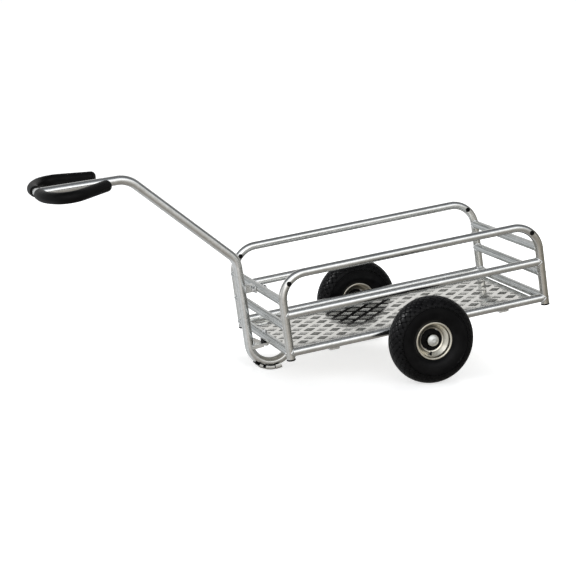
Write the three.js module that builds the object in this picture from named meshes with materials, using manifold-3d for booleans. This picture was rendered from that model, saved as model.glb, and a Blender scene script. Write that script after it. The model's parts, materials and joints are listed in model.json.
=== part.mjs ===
// A two-wheeled hand cart: a welded frame of galvanised tube round a chequer-plate floor, carried on a
// cross axle with two pneumatic wheels and pulled by a bent drawbar with a horseshoe handle.
//
// Millimetres, +Z up, +X towards the rear (the load end), -X towards the handle, the near side at -Y.
// The origin is on the ground, in the middle of the cart's whole length and width. The cart is shown parked:
// it rests on both tyres and on the drawbar's curved foot, so the frame is pitched nose-down.
import * as THREE from "three";
import { mergeVertices } from "three/addons/utils/BufferGeometryUtils.js";
import Module from "manifold-3d";

const wasm = await Module();
wasm.setup();

// ---- driving dimensions ----
const GAP = 0.3; // clearance left between pieces that touch on the real cart
// Facets round each kind of round piece.
const SIDES = 12;
const LOOP_SIDES = 8;
const PLUG_SIDES = 8;
const HUB_SIDES = 16;
const RIM_SIDES = 20;
const TYRE_SIDES = 24;

const FRAME_LENGTH = 810; // leg axis to leg axis
const FRAME_WIDTH = 490; // side frame to side frame
const SIDE_HEIGHT = 226; // bottom rail axis to top rail axis
const MID_RAIL_HEIGHT = 111.5; // bottom rail axis to mid rail axis
const BAR_PITCH = 76; // between the cross bars of one end
const LEG_BELOW_RAIL = 19; // tube end below the bottom rail axis
const HOOP_BEND = 75; // centre-line radius of the two top corners

const THROUGH = 30; // half length of a cutter that goes right through a tube

const FRAME_TUBE = { radius: 12.5, bore: 10.5 };
const DRAWBAR_TUBE = { radius: 14, bore: 12 };

const TYRE_RADIUS = 130;
const TRACK = 648; // between the wheels' middle planes
const AXLE_BELOW_RAIL = 29; // axle axis below the bottom rail axis
const AXLE_RADIUS = 10;
const PARKED_PITCH = 8.3; // degrees
const AXLE_X = 344.6; // the axle's place behind the middle of the cart's whole length

const FLOOR_THICKNESS = 3;
const FLOOR_LENGTH = 784;
const FLOOR_WIDTH = 470;
const BEARER_OFFSET = 270; // each floor bearer from the axle, along X
const BEARER = { width: 30, thickness: 6, length: 494 };

const FOOT_BEND = 67; // centre-line radius of the drawbar's foot
const FOOT_CENTRE = { x: -391.5, z: 14 };
const GRIP_RADIUS = 17;

// Places that follow from them, in the frame's own axes, whose origin is the middle of the axle.
const HALF_LENGTH = FRAME_LENGTH / 2;
const HALF_WIDTH = FRAME_WIDTH / 2;
const RAIL_Z = AXLE_BELOW_RAIL;
const RAIL_UNDERSIDE = RAIL_Z - FRAME_TUBE.radius;
const BEARER_TOP = RAIL_UNDERSIDE - GAP;
const BEARER_BOTTOM = BEARER_TOP - BEARER.thickness;
const TOP_BAR_Z = RAIL_Z + 2 * BAR_PITCH;
const HUB_CENTRE = TRACK / 2;

// ---- finishes ----
const finish = (color, roughness, metalness) =>
  new THREE.MeshStandardMaterial({ color, roughness, metalness });
const GALVANISED = finish(0xb9bcb8, 0.35, 1);
const TREAD_PLATE = finish(0xd2d3cf, 0.25, 1);
const ZINC = finish(0xc9c4b4, 0.3, 1);
const BRIGHT_STEEL = finish(0xd0d2d4, 0.25, 1);
const BLACK_PLASTIC = finish(0x0c0c0d, 0.45, 0);
const FOAM = finish(0x1a1a1b, 0.8, 0);
const RUBBER = finish(0x161617, 0.7, 0);

// ---- angles ----
const radians = THREE.MathUtils.degToRad;
const cos = (degrees) => Math.cos(radians(degrees));
const sin = (degrees) => Math.sin(radians(degrees));
const tan = (degrees) => Math.tan(radians(degrees));

// ---- solids ----
// A closed geometry as a manifold, with its shared corners merged.
function solid(geometry) {
  const bare = geometry.index ? geometry.toNonIndexed() : geometry.clone();
  bare.deleteAttribute("normal");
  bare.deleteAttribute("uv");
  const merged = mergeVertices(bare, 1e-4);
  return new wasm.Manifold(
    new wasm.Mesh({
      numProp: 3,
      vertProperties: merged.attributes.position.array,
      triVerts: new Uint32Array(merged.index.array),
    }),
  );
}

function geometryOf(manifold) {
  const mesh = manifold.getMesh();
  const geometry = new THREE.BufferGeometry();
  geometry.setAttribute("position", new THREE.BufferAttribute(new Float32Array(mesh.vertProperties), 3));
  geometry.setIndex(new THREE.BufferAttribute(new Uint32Array(mesh.triVerts), 1));
  return geometry;
}

// A piece with the cutters taken out of it, or with the others added to it.
const cut = (body, ...cutters) =>
  geometryOf(cutters.reduce((left, cutter) => left.subtract(solid(cutter)), solid(body)));
const join = (body, ...others) =>
  geometryOf(others.reduce((sum, other) => sum.add(solid(other)), solid(body)));

// The corners of a regular polygon round the origin.
const polygon = (radius, sides) =>
  Array.from({ length: sides }, (_, i) => {
    const angle = (2 * Math.PI * i) / sides;
    return new THREE.Vector2(radius * Math.cos(angle), radius * Math.sin(angle));
  });

// A round section as a polygon, with an optional hole.
function ring(radius, bore = 0, sides = SIDES, boreSides = sides) {
  const shape = new THREE.Shape(polygon(radius, sides));
  if (bore > 0) shape.holes.push(new THREE.Path(polygon(bore, boreSides)));
  return shape;
}

// A straight round bar or tube from one point to another.
function rod(from, to, radius, bore = 0, sides = SIDES) {
  const start = new THREE.Vector3(...from);
  const along = new THREE.Vector3(...to).sub(start);
  const section = ring(radius, bore, sides);
  const geometry = new THREE.ExtrudeGeometry(section, { depth: along.length(), bevelEnabled: false });
  const up = new THREE.Vector3(0, 0, 1);
  geometry.applyQuaternion(new THREE.Quaternion().setFromUnitVectors(up, along.normalize()));
  return geometry.translate(start.x, start.y, start.z);
}

// A block between two limits along each axis.
function box(x, y, z) {
  const geometry = new THREE.BoxGeometry(x[1] - x[0], y[1] - y[0], z[1] - z[0]);
  return geometry.translate((x[0] + x[1]) / 2, (y[0] + y[1]) / 2, (z[0] + z[1]) / 2);
}

// A body of revolution round the Y axis from [radius, y] points. Its outer side is listed with y falling.
// An outline that starts on the axis ends on it; any other is closed on itself.
function turned(outline, sides) {
  const points = outline.map(([radius, y]) => new THREE.Vector2(radius, y));
  const startsOnAxis = points[0].x === 0;
  if (!startsOnAxis) points.push(points[0].clone());
  points.reverse();
  return new THREE.LatheGeometry(points, sides);
}

// A tube bender's path in one plane: straight lengths and bends, as a curve that is read at its stations.
class BentPath extends THREE.Curve {
  // toSpace turns the plane's (u, v) into space; a bend is [angle in degrees, radius, steps].
  constructor(toSpace, start, headingDegrees, moves) {
    super();
    this.stations = [];
    let [u, v] = start;
    let heading = radians(headingDegrees);
    const mark = () =>
      this.stations.push({
        point: toSpace(u, v),
        tangent: toSpace(u + Math.cos(heading), v + Math.sin(heading)).sub(toSpace(u, v)),
      });
    mark();
    for (const move of moves) {
      if (typeof move === "number") {
        u += move * Math.cos(heading);
        v += move * Math.sin(heading);
        mark();
        continue;
      }
      const [degrees, radius, steps] = move;
      const step = radians(degrees) / steps;
      const side = Math.sign(degrees);
      for (let i = 0; i < steps; i++) {
        u += side * radius * (Math.sin(heading + step) - Math.sin(heading));
        v -= side * radius * (Math.cos(heading + step) - Math.cos(heading));
        heading += step;
        mark();
      }
    }
  }
  get steps() {
    return this.stations.length - 1;
  }
  getPointAt(t) {
    return this.stations[Math.round(t * this.steps)].point.clone();
  }
  getTangentAt(t) {
    return this.stations[Math.round(t * this.steps)].tangent.clone();
  }
}

// A round tube along a path.
const swept = (path, radius, bore = 0, sides = SIDES) =>
  new THREE.ExtrudeGeometry(ring(radius, bore, sides), { steps: path.steps, extrudePath: path });

// ---- fasteners, made with their axis along Z and the seat of the head at z = 0 ----
function hexBolt(radius, length, flats, headHeight) {
  const head = rod([0, 0, 0], [0, 0, headHeight], flats / Math.sqrt(3), 0, 6);
  return join(head, rod([0, 0, -length], [0, 0, headHeight / 2], radius));
}

const hexNut = (bore, flats, height) => {
  const section = ring(flats / Math.sqrt(3), bore, 6, SIDES);
  return new THREE.ExtrudeGeometry(section, { depth: height, bevelEnabled: false });
};

// ---- the part ----
const cart = new THREE.Group();
cart.position.x = AXLE_X;
const frame = new THREE.Group();
frame.position.z = TYRE_RADIUS;
frame.rotation.y = -radians(PARKED_PITCH);
cart.add(frame);

function place(parent, name, geometry, material, position = [0, 0, 0], rotation = [0, 0, 0]) {
  const mesh = new THREE.Mesh(geometry, material);
  mesh.name = name;
  mesh.position.set(...position);
  mesh.rotation.set(...rotation);
  parent.add(mesh);
}

const SIDES_OF_CART = [
  ["near", -1],
  ["far", 1],
];
const ENDS_OF_CART = [
  ["front", -1],
  ["rear", 1],
];

// Side frames: a hoop of one tube, with a mid rail and a bottom rail welded between its legs.
const hoopPath = (y) =>
  new BentPath(
    (u, v) => new THREE.Vector3(u, y, v),
    [-HALF_LENGTH, RAIL_Z - LEG_BELOW_RAIL],
    90,
    [
      LEG_BELOW_RAIL + SIDE_HEIGHT - HOOP_BEND,
      [-90, HOOP_BEND, 6],
      FRAME_LENGTH - 2 * HOOP_BEND,
      [-90, HOOP_BEND, 6],
      LEG_BELOW_RAIL + SIDE_HEIGHT - HOOP_BEND,
    ],
  );
const hoopEnvelope = (y) => swept(hoopPath(y), FRAME_TUBE.radius + GAP);
const railEnvelope = (y) =>
  rod([-HALF_LENGTH, y, RAIL_Z], [HALF_LENGTH, y, RAIL_Z], FRAME_TUBE.radius + GAP);

// Black plugs close a cross hole in the middle of each top corner.
const PLUG = { stem: 5, head: 7.2, headHeight: 1.5 };
const CORNER_MIDDLE = HOOP_BEND * (1 - Math.SQRT1_2);
const plugPlace = (end, side) => [
  end * (HALF_LENGTH - CORNER_MIDDLE),
  side * HALF_WIDTH,
  RAIL_Z + SIDE_HEIGHT - CORNER_MIDDLE,
];

for (const [sideName, side] of SIDES_OF_CART) {
  const y = side * HALF_WIDTH;
  const crossHoles = ENDS_OF_CART.map(([, end]) => {
    const [px, py, pz] = plugPlace(end, side);
    return rod([px, py - THROUGH, pz], [px, py + THROUGH, pz], PLUG.stem + GAP);
  });
  const hoop = cut(swept(hoopPath(y), FRAME_TUBE.radius, FRAME_TUBE.bore), ...crossHoles);
  place(frame, `side_hoop_${sideName}`, hoop, GALVANISED);

  for (const [railName, height] of [
    ["mid_rail", MID_RAIL_HEIGHT],
    ["bottom_rail", 0],
  ]) {
    const z = RAIL_Z + height;
    const tube = rod([-HALF_LENGTH, y, z], [HALF_LENGTH, y, z], FRAME_TUBE.radius, FRAME_TUBE.bore);
    place(frame, `${railName}_${sideName}`, cut(tube, hoopEnvelope(y)), GALVANISED);
  }
}

// Cross bars: three at each end, coped round the legs. The front ones carry the drawbar's bolts.
const BOLT_M8 = { radius: 4, hole: 4.3, flats: 13, head: 5.3, nut: 6.5 };
const UPPER_BOLT_SPACING = 34;
const FRONT_BAR_HOLES = {
  top: [-0.5, 0.5].map((s) =>
    rod(
      [-HALF_LENGTH - THROUGH, s * UPPER_BOLT_SPACING, TOP_BAR_Z],
      [-HALF_LENGTH + THROUGH, s * UPPER_BOLT_SPACING, TOP_BAR_Z],
      BOLT_M8.hole,
    ),
  ),
  middle: [],
  bottom: [rod([-HALF_LENGTH, 0, RAIL_Z - THROUGH], [-HALF_LENGTH, 0, RAIL_Z + THROUGH], BOLT_M8.hole)],
};

["bottom", "middle", "top"].forEach((level, i) => {
  const z = RAIL_Z + i * BAR_PITCH;
  const copes = SIDES_OF_CART.map(([, side]) => hoopEnvelope(side * HALF_WIDTH));
  if (level === "bottom") copes.push(...SIDES_OF_CART.map(([, side]) => railEnvelope(side * HALF_WIDTH)));
  for (const [endName, end] of ENDS_OF_CART) {
    const x = end * HALF_LENGTH;
    const tube = rod([x, -HALF_WIDTH, z], [x, HALF_WIDTH, z], FRAME_TUBE.radius, FRAME_TUBE.bore);
    const holes = end < 0 ? FRONT_BAR_HOLES[level] : [];
    place(frame, `${endName}_bar_${level}`, cut(tube, ...copes, ...holes), GALVANISED);
  }
});

// Push-in leg caps and corner plugs.
const CAP = { radius: 13.5, height: 4.5, stem: 9.8, stemLength: 12, chamfer: 1.5 };
for (const [endName, end] of ENDS_OF_CART)
  for (const [sideName, side] of SIDES_OF_CART) {
    const cap = turned(
      [
        [0, CAP.stemLength],
        [CAP.stem, CAP.stemLength],
        [CAP.stem, -GAP],
        [CAP.radius, -GAP],
        [CAP.radius, CAP.chamfer - CAP.height],
        [CAP.radius - CAP.chamfer, -CAP.height],
        [0, -CAP.height],
      ],
      SIDES,
    );
    const legEnd = [end * HALF_LENGTH, side * HALF_WIDTH, RAIL_Z - LEG_BELOW_RAIL];
    place(frame, `leg_cap_${endName}_${sideName}`, cap, BLACK_PLASTIC, legEnd, [Math.PI / 2, 0, 0]);

    const proud = FRAME_TUBE.radius + GAP;
    const plug = turned(
      [
        [0, proud + PLUG.headHeight],
        [PLUG.head, proud + PLUG.headHeight],
        [PLUG.head, proud],
        [PLUG.stem, proud],
        [PLUG.stem, -proud],
        [PLUG.head, -proud],
        [PLUG.head, -proud - PLUG.headHeight],
        [0, -proud - PLUG.headHeight],
      ],
      PLUG_SIDES,
    );
    place(frame, `corner_plug_${endName}_${sideName}`, plug, BLACK_PLASTIC, plugPlace(end, side));
  }

// Floor: one chequer plate lying on two flat bearers and on the axle channel.
const FLOOR_BOTTOM = BEARER_TOP + GAP;
place(
  frame,
  "floor_plate",
  box(
    [-FLOOR_LENGTH / 2, FLOOR_LENGTH / 2],
    [-FLOOR_WIDTH / 2, FLOOR_WIDTH / 2],
    [FLOOR_BOTTOM, FLOOR_BOTTOM + FLOOR_THICKNESS],
  ),
  TREAD_PLATE,
);
for (const [endName, end] of ENDS_OF_CART) {
  const x = end * BEARER_OFFSET;
  const bearer = box(
    [x - BEARER.width / 2, x + BEARER.width / 2],
    [-BEARER.length / 2, BEARER.length / 2],
    [BEARER_BOTTOM, BEARER_TOP],
  );
  place(frame, `floor_bearer_${endName}`, bearer, GALVANISED);
}

// Axle: a round bar cross-bolted inside a channel that is welded under both bottom rails.
const CHANNEL = { halfWidth: 15, wall: 3, depth: 24 };
const AXLE_BOLT = { radius: 3, hole: 3.3, y: 225, z: 0, flats: 10, head: 4, length: 38 };
const AXLE_END = 344;
const HUB_INNER_END = 38; // from the wheel's middle plane towards the frame
const HUB_OUTER_END = 15;
const COLLAR = { radius: 15, width: 6, play: 1 };
const AXLE_CHAMFER = 1;

const axleBoltHole = (side) =>
  rod(
    [-2 * CHANNEL.halfWidth, side * AXLE_BOLT.y, AXLE_BOLT.z],
    [2 * CHANNEL.halfWidth, side * AXLE_BOLT.y, AXLE_BOLT.z],
    AXLE_BOLT.hole,
  );
const channelInside = CHANNEL.halfWidth - CHANNEL.wall;
const channel = new THREE.Shape(
  [
    [-CHANNEL.halfWidth, BEARER_TOP],
    [-CHANNEL.halfWidth, BEARER_TOP - CHANNEL.depth],
    [-channelInside, BEARER_TOP - CHANNEL.depth],
    [-channelInside, BEARER_TOP - CHANNEL.wall],
    [channelInside, BEARER_TOP - CHANNEL.wall],
    [channelInside, BEARER_TOP - CHANNEL.depth],
    [CHANNEL.halfWidth, BEARER_TOP - CHANNEL.depth],
    [CHANNEL.halfWidth, BEARER_TOP],
  ].map(([x, z]) => new THREE.Vector2(x, z)),
);
const channelBlank = new THREE.ExtrudeGeometry(channel, { depth: BEARER.length, bevelEnabled: false })
  .rotateX(Math.PI / 2)
  .translate(0, BEARER.length / 2, 0);
const axleBoltHoles = SIDES_OF_CART.map(([, side]) => axleBoltHole(side));
place(frame, "axle_channel", cut(channelBlank, ...axleBoltHoles), GALVANISED);

const collarOuter = HUB_CENTRE - HUB_INNER_END - COLLAR.play;
const axleOutline = [
  [0, AXLE_END],
  [AXLE_RADIUS - AXLE_CHAMFER, AXLE_END],
  [AXLE_RADIUS, AXLE_END - AXLE_CHAMFER],
  [AXLE_RADIUS, collarOuter],
  [COLLAR.radius, collarOuter],
  [COLLAR.radius, collarOuter - COLLAR.width],
  [AXLE_RADIUS, collarOuter - COLLAR.width],
];
const mirrored = axleOutline.map(([radius, y]) => [radius, -y]).reverse();
place(frame, "axle", cut(turned([...axleOutline, ...mirrored], HUB_SIDES), ...axleBoltHoles), BRIGHT_STEEL);
for (const [sideName, side] of SIDES_OF_CART) {
  const bolt = hexBolt(AXLE_BOLT.radius, AXLE_BOLT.length, AXLE_BOLT.flats, AXLE_BOLT.head);
  const seat = [-CHANNEL.halfWidth - GAP, side * AXLE_BOLT.y, AXLE_BOLT.z];
  place(frame, `axle_bolt_${sideName}`, bolt, BRIGHT_STEEL, seat, [0, -Math.PI / 2, 0]);
}

// Axle caps: domed push-on caps over the ends of the axle, just clear of the turning hubs.
const AXLE_CAP = { radius: 17.2, base: HUB_OUTER_END + 1.5 };
for (const [sideName, side] of SIDES_OF_CART) {
  const pocketFloor = AXLE_END - HUB_CENTRE + GAP;
  const cap = turned(
    [
      [0, AXLE_CAP.base + 6],
      [3, AXLE_CAP.base + 7.5],
      [8, AXLE_CAP.base + 7],
      [13, AXLE_CAP.base + 5],
      [AXLE_CAP.radius, AXLE_CAP.base + 2],
      [AXLE_CAP.radius, AXLE_CAP.base],
      [AXLE_RADIUS + GAP, AXLE_CAP.base],
      [AXLE_RADIUS + GAP, pocketFloor],
      [0, pocketFloor],
    ],
    HUB_SIDES,
  );
  const facing = [side < 0 ? Math.PI : 0, 0, 0];
  place(frame, `axle_cap_${sideName}`, cap, BRIGHT_STEEL, [0, side * HUB_CENTRE, 0], facing);
}

// Drawbar: one bent tube from the handle down the front of the frame, round the foot, back under the floor.
const HANDLE_X = -1011.7;
const HANDLE_Z = 585;
const HANDLE_SLOPE = -1.7; // degrees, falling towards the cart
const DIAGONAL_SLOPE = -46.2;
const FIRST_BEND = 75;
const SECOND_BEND = 60;
const UPRIGHT_X = FOOT_CENTRE.x - FOOT_BEND;
const FOOT_TURN = 54.3; // degrees past the bottom of the foot where the tube turns back to level
const TAIL_BEND = 50;
const TAIL_LENGTH = 50;

const GRIP_RUN = 265.5; // from the handle's apex to the corner point of the first bend

// The straight lengths that bring the diagonal onto the upright line.
const cornerX = HANDLE_X + GRIP_RUN * cos(HANDLE_SLOPE);
const cornerZ = HANDLE_Z + GRIP_RUN * sin(HANDLE_SLOPE);
const diagonalRun = (UPRIGHT_X - cornerX) / cos(DIAGONAL_SLOPE);
const uprightTop = cornerZ + (UPRIGHT_X - cornerX) * tan(DIAGONAL_SLOPE);
const firstTurn = DIAGONAL_SLOPE - HANDLE_SLOPE;
const secondTurn = -90 - DIAGONAL_SLOPE;
const firstTangent = FIRST_BEND * tan(-firstTurn / 2);
const secondTangent = SECOND_BEND * tan(-secondTurn / 2);
const drawbarPath = (gripStart, tail) =>
  new BentPath(
    (u, v) => new THREE.Vector3(u, 0, v),
    [HANDLE_X + gripStart * cos(HANDLE_SLOPE), HANDLE_Z + gripStart * sin(HANDLE_SLOPE)],
    HANDLE_SLOPE,
    [
      GRIP_RUN - gripStart - firstTangent,
      [firstTurn, FIRST_BEND, 4],
      diagonalRun - firstTangent - secondTangent,
      [secondTurn, SECOND_BEND, 4],
      uprightTop - secondTangent - FOOT_CENTRE.z,
      [90 + FOOT_TURN, FOOT_BEND, 8],
      [-FOOT_TURN, TAIL_BEND, 3],
      tail,
    ],
  );

// Handle: a horseshoe of tube lying level across the drawbar's end, open towards the cart.
const BOW = { halfStraight: 59, leg: 112, wideTurn: 33, wideRadius: 176, tightTurn: 95, tightRadius: 46.6 };
const LOOP_TUBE = { radius: 12.5, bore: 10.5 };
// The half of the bow on one side, from a place on its straight apex to its end.
const halfBow = (side, from, leg) =>
  new BentPath((u, v) => new THREE.Vector3(HANDLE_X + u, side * v, HANDLE_Z), [0, from], 90, [
    BOW.halfStraight - from,
    [-BOW.wideTurn, BOW.wideRadius, 3],
    [-BOW.tightTurn, BOW.tightRadius, 6],
    leg,
  ]);
const bowEnd = halfBow(-1, 0, BOW.leg).stations.at(-1).point;
const wholeBow = new BentPath(
  (u, v) => new THREE.Vector3(u, v, HANDLE_Z),
  [bowEnd.x, bowEnd.y],
  90 + BOW.wideTurn + BOW.tightTurn,
  [
    BOW.leg,
    [-BOW.tightTurn, BOW.tightRadius, 6],
    [-BOW.wideTurn, BOW.wideRadius, 3],
    2 * BOW.halfStraight,
    [-BOW.wideTurn, BOW.wideRadius, 3],
    [-BOW.tightTurn, BOW.tightRadius, 6],
    BOW.leg,
  ],
);
place(frame, "handle_loop", swept(wholeBow, LOOP_TUBE.radius, LOOP_TUBE.bore, LOOP_SIDES), GALVANISED);

const GRIP = { start: 27, pastTube: 6 };
for (const [sideName, side] of SIDES_OF_CART) {
  const outside = swept(halfBow(side, GRIP.start, BOW.leg + GRIP.pastTube), GRIP_RADIUS);
  const insideStart = GRIP.start - GRIP.pastTube;
  const inside = swept(halfBow(side, insideStart, BOW.leg + GAP), LOOP_TUBE.radius + GAP, 0, LOOP_SIDES);
  place(frame, `grip_${sideName}`, cut(outside, inside), FOAM);
}

// Foot: a rubber strip and a curved steel shoe under the lowest stretch of the drawbar, held by two screws.
// Each side of the shoe has three tabs that stand up beside the tube. Angles are in degrees from where the foot
// meets the ground and grow towards the rear, and heights are from the shoe's underside.
const SHOE = { rubber: 3.4, plate: 2.6, halfWidth: 20, span: [-29, 22] };
const SHOE_TABS = [
  { span: [-29, -21], height: 10 },
  { span: [-14, 6], height: 11 },
  { span: [8, 22], height: 13 },
];
const FOOT_RUBBER = { halfWidth: 14, span: [-37, 20] };
const FOOT_SCREW = { angle: 11, radius: 2.5, hole: 2.8, insideTube: 5 };
const CONTACT_ANGLE = 270 - PARKED_PITCH; // where the foot's circle meets the ground
const FOOT_SURFACE = FOOT_BEND + DRAWBAR_TUBE.radius;
const shoeInner = FOOT_SURFACE + SHOE.rubber + GAP;
const shoeOuter = shoeInner + SHOE.plate;

function curvedStrip([inner, outer], [from, to], [near, far]) {
  const [start, end] = [from, to].map((angle) => radians(CONTACT_ANGLE + angle));
  const strip = new THREE.Shape();
  strip.absarc(0, 0, outer, start, end, false);
  strip.absarc(0, 0, inner, end, start, true);
  return new THREE.ExtrudeGeometry(strip, { depth: far - near, bevelEnabled: false, curveSegments: 6 })
    .rotateX(Math.PI / 2)
    .translate(FOOT_CENTRE.x, far, FOOT_CENTRE.z);
}
const footPoint = (angle, radius) => [
  FOOT_CENTRE.x + radius * cos(CONTACT_ANGLE + angle),
  0,
  FOOT_CENTRE.z + radius * sin(CONTACT_ANGLE + angle),
];
const screwHoles = ENDS_OF_CART.map(([, end]) => {
  const angle = end * FOOT_SCREW.angle;
  return rod(footPoint(angle, FOOT_BEND), footPoint(angle, shoeOuter + THROUGH), FOOT_SCREW.hole);
});
const footEnvelope = swept(drawbarPath(THROUGH, TAIL_LENGTH), DRAWBAR_TUBE.radius + GAP);
const rubberStrip = curvedStrip(
  [FOOT_SURFACE - 1, FOOT_SURFACE + SHOE.rubber],
  FOOT_RUBBER.span,
  [-FOOT_RUBBER.halfWidth, FOOT_RUBBER.halfWidth],
);
place(frame, "foot_rubber", cut(rubberStrip, footEnvelope, ...screwHoles), RUBBER);

const shoeTabs = SHOE_TABS.flatMap(({ span, height }) => [
  curvedStrip([shoeOuter - height, shoeOuter], span, [-SHOE.halfWidth, SHOE.plate - SHOE.halfWidth]),
  curvedStrip([shoeOuter - height, shoeOuter], span, [SHOE.halfWidth - SHOE.plate, SHOE.halfWidth]),
]);
const shoe = join(
  curvedStrip([shoeInner, shoeOuter], SHOE.span, [-SHOE.halfWidth, SHOE.halfWidth]),
  ...shoeTabs,
);
place(frame, "foot_shoe", cut(shoe, ...screwHoles), GALVANISED);
for (const [endName, end] of ENDS_OF_CART) {
  const angle = end * FOOT_SCREW.angle;
  const top = FOOT_SURFACE - FOOT_SCREW.insideTube;
  const screw = rod(footPoint(angle, top), footPoint(angle, shoeOuter - 2 * GAP), FOOT_SCREW.radius, 0, 10);
  place(frame, `foot_screw_${endName}`, screw, BRIGHT_STEEL);
}

const loopEnvelope = swept(wholeBow, LOOP_TUBE.radius + GAP, 0, LOOP_SIDES);
const drawbarTube = swept(drawbarPath(0, TAIL_LENGTH), DRAWBAR_TUBE.radius, DRAWBAR_TUBE.bore);
place(frame, "drawbar", cut(drawbarTube, loopEnvelope, ...screwHoles), GALVANISED);

// Tail strap: a saddle that holds the drawbar's tail up against the front bearer.
const TAIL_Z = FOOT_CENTRE.z - (FOOT_BEND + TAIL_BEND) * cos(FOOT_TURN) + TAIL_BEND;
const STRAP = { wall: 3, ear: 14, halfLength: 12 };
const strapOuter = DRAWBAR_TUBE.radius + GAP + STRAP.wall;
const strapTop = BEARER_BOTTOM - GAP;
const strapAlong = [-BEARER_OFFSET - STRAP.halfLength, -BEARER_OFFSET + STRAP.halfLength];
const pastStrap = [strapAlong[0] - THROUGH, strapAlong[1] + THROUGH];
const strapBlank = join(
  rod([strapAlong[0], 0, TAIL_Z], [strapAlong[1], 0, TAIL_Z], strapOuter),
  box(strapAlong, [-strapOuter - STRAP.ear, strapOuter + STRAP.ear], [strapTop - STRAP.wall, strapTop]),
  box(strapAlong, [-strapOuter, strapOuter], [TAIL_Z, strapTop]),
);
const aboveStrap = box(pastStrap, [-BEARER.length, BEARER.length], [strapTop, strapTop + BEARER.length]);
const strapInner = DRAWBAR_TUBE.radius + GAP;
const insideStrap = join(
  rod([pastStrap[0], 0, TAIL_Z], [pastStrap[1], 0, TAIL_Z], strapInner),
  box(pastStrap, [-strapInner, strapInner], [TAIL_Z, strapTop + THROUGH]),
);
place(frame, "tail_strap", cut(strapBlank, aboveStrap, insideStrap), GALVANISED);

// Upper drawbar bracket: a stand-off welded to the drawbar, with a flange bolted to the front top bar.
const FLANGE = { thickness: 4, halfWidth: 26, halfHeight: 12 };
const STAND_OFF = { halfWidth: 7, below: 10, above: 16 };
const BOLT_PAST_NUT = 2;
const flangeRear = -HALF_LENGTH - FRAME_TUBE.radius - GAP;
const flangeFront = flangeRear - FLANGE.thickness;
const flange = box(
  [flangeFront, flangeRear],
  [-FLANGE.halfWidth, FLANGE.halfWidth],
  [TOP_BAR_Z - FLANGE.halfHeight, TOP_BAR_Z + FLANGE.halfHeight],
);
const standOff = box(
  [UPRIGHT_X, flangeFront + 1],
  [-STAND_OFF.halfWidth, STAND_OFF.halfWidth],
  [TOP_BAR_Z - STAND_OFF.below, TOP_BAR_Z + STAND_OFF.above],
);
const upperBracket = cut(join(flange, standOff), footEnvelope, ...FRONT_BAR_HOLES.top);
place(frame, "drawbar_bracket_upper", upperBracket, GALVANISED);
for (const [sideName, side] of SIDES_OF_CART) {
  const y = (side * UPPER_BOLT_SPACING) / 2;
  const grip = FLANGE.thickness + 2 * FRAME_TUBE.radius + 3 * GAP;
  const bolt = hexBolt(BOLT_M8.radius, grip + BOLT_M8.nut + BOLT_PAST_NUT, BOLT_M8.flats, BOLT_M8.head);
  const seat = [flangeFront - GAP, y, TOP_BAR_Z];
  place(frame, `upper_bolt_${sideName}`, bolt, BRIGHT_STEEL, seat, [0, -Math.PI / 2, 0]);
  const nut = hexNut(BOLT_M8.hole, BOLT_M8.flats, BOLT_M8.nut);
  const nutSeat = [-HALF_LENGTH + FRAME_TUBE.radius + GAP, y, TOP_BAR_Z];
  place(frame, `upper_nut_${sideName}`, nut, BRIGHT_STEEL, nutSeat, [0, Math.PI / 2, 0]);
}

// Lower drawbar bracket: a shelf under the front bottom bar, with a web above it and a cheek below it on
// each side of the drawbar. A rubber saddle lies on the shelf, and one upright bolt goes through them all.
const SHELF = { thickness: 5, halfWidth: 17.2, past: 10 };
const WEB = { halfWidth: 4, top: RAIL_Z + 4, rear: -HALF_LENGTH - FRAME_TUBE.radius - 5 };
const CHEEK = { inner: DRAWBAR_TUBE.radius + 2 * GAP, length: 38, depth: 8, endDepth: 6 };
const cheekFront = UPRIGHT_X + 4;
const SADDLE = { front: -HALF_LENGTH - 12, rear: -HALF_LENGTH + 9, top: RAIL_Z - 6, under: 4 };
const saddleBottom = RAIL_UNDERSIDE - SADDLE.under;
const shelfTop = saddleBottom - GAP;
const shelfBottom = shelfTop - SHELF.thickness;
const cheek = (near, far) => {
  const outline = new THREE.Shape(
    [
      [cheekFront, shelfBottom + 1],
      [cheekFront, shelfBottom - CHEEK.depth],
      [cheekFront + CHEEK.length, shelfBottom - CHEEK.endDepth],
      [cheekFront + CHEEK.length, shelfBottom + 1],
    ].map(([x, z]) => new THREE.Vector2(x, z)),
  );
  return new THREE.ExtrudeGeometry(outline, { depth: far - near, bevelEnabled: false })
    .rotateX(Math.PI / 2)
    .translate(0, far, 0);
};
const lowerBracket = join(
  box(
    [UPRIGHT_X, -HALF_LENGTH + SHELF.past],
    [-SHELF.halfWidth, SHELF.halfWidth],
    [shelfBottom, shelfTop],
  ),
  box([UPRIGHT_X, WEB.rear], [-WEB.halfWidth, WEB.halfWidth], [shelfTop - 1, WEB.top]),
  cheek(-SHELF.halfWidth, -CHEEK.inner),
  cheek(CHEEK.inner, SHELF.halfWidth),
);
const lowerHole = rod(
  [-HALF_LENGTH, 0, shelfBottom - THROUGH],
  [-HALF_LENGTH, 0, RAIL_Z + THROUGH],
  BOLT_M8.hole,
);
place(frame, "drawbar_bracket_lower", cut(lowerBracket, footEnvelope, lowerHole), GALVANISED);
const saddleBlank = box(
  [SADDLE.front, SADDLE.rear],
  [-SHELF.halfWidth, SHELF.halfWidth],
  [saddleBottom, SADDLE.top],
);
const bottomBarEnvelope = rod(
  [-HALF_LENGTH, -HALF_WIDTH, RAIL_Z],
  [-HALF_LENGTH, HALF_WIDTH, RAIL_Z],
  FRAME_TUBE.radius + GAP,
);
place(frame, "lower_saddle", cut(saddleBlank, bottomBarEnvelope, lowerHole), RUBBER);
const lowerGrip = RAIL_Z + FRAME_TUBE.radius + GAP - shelfBottom;
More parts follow.
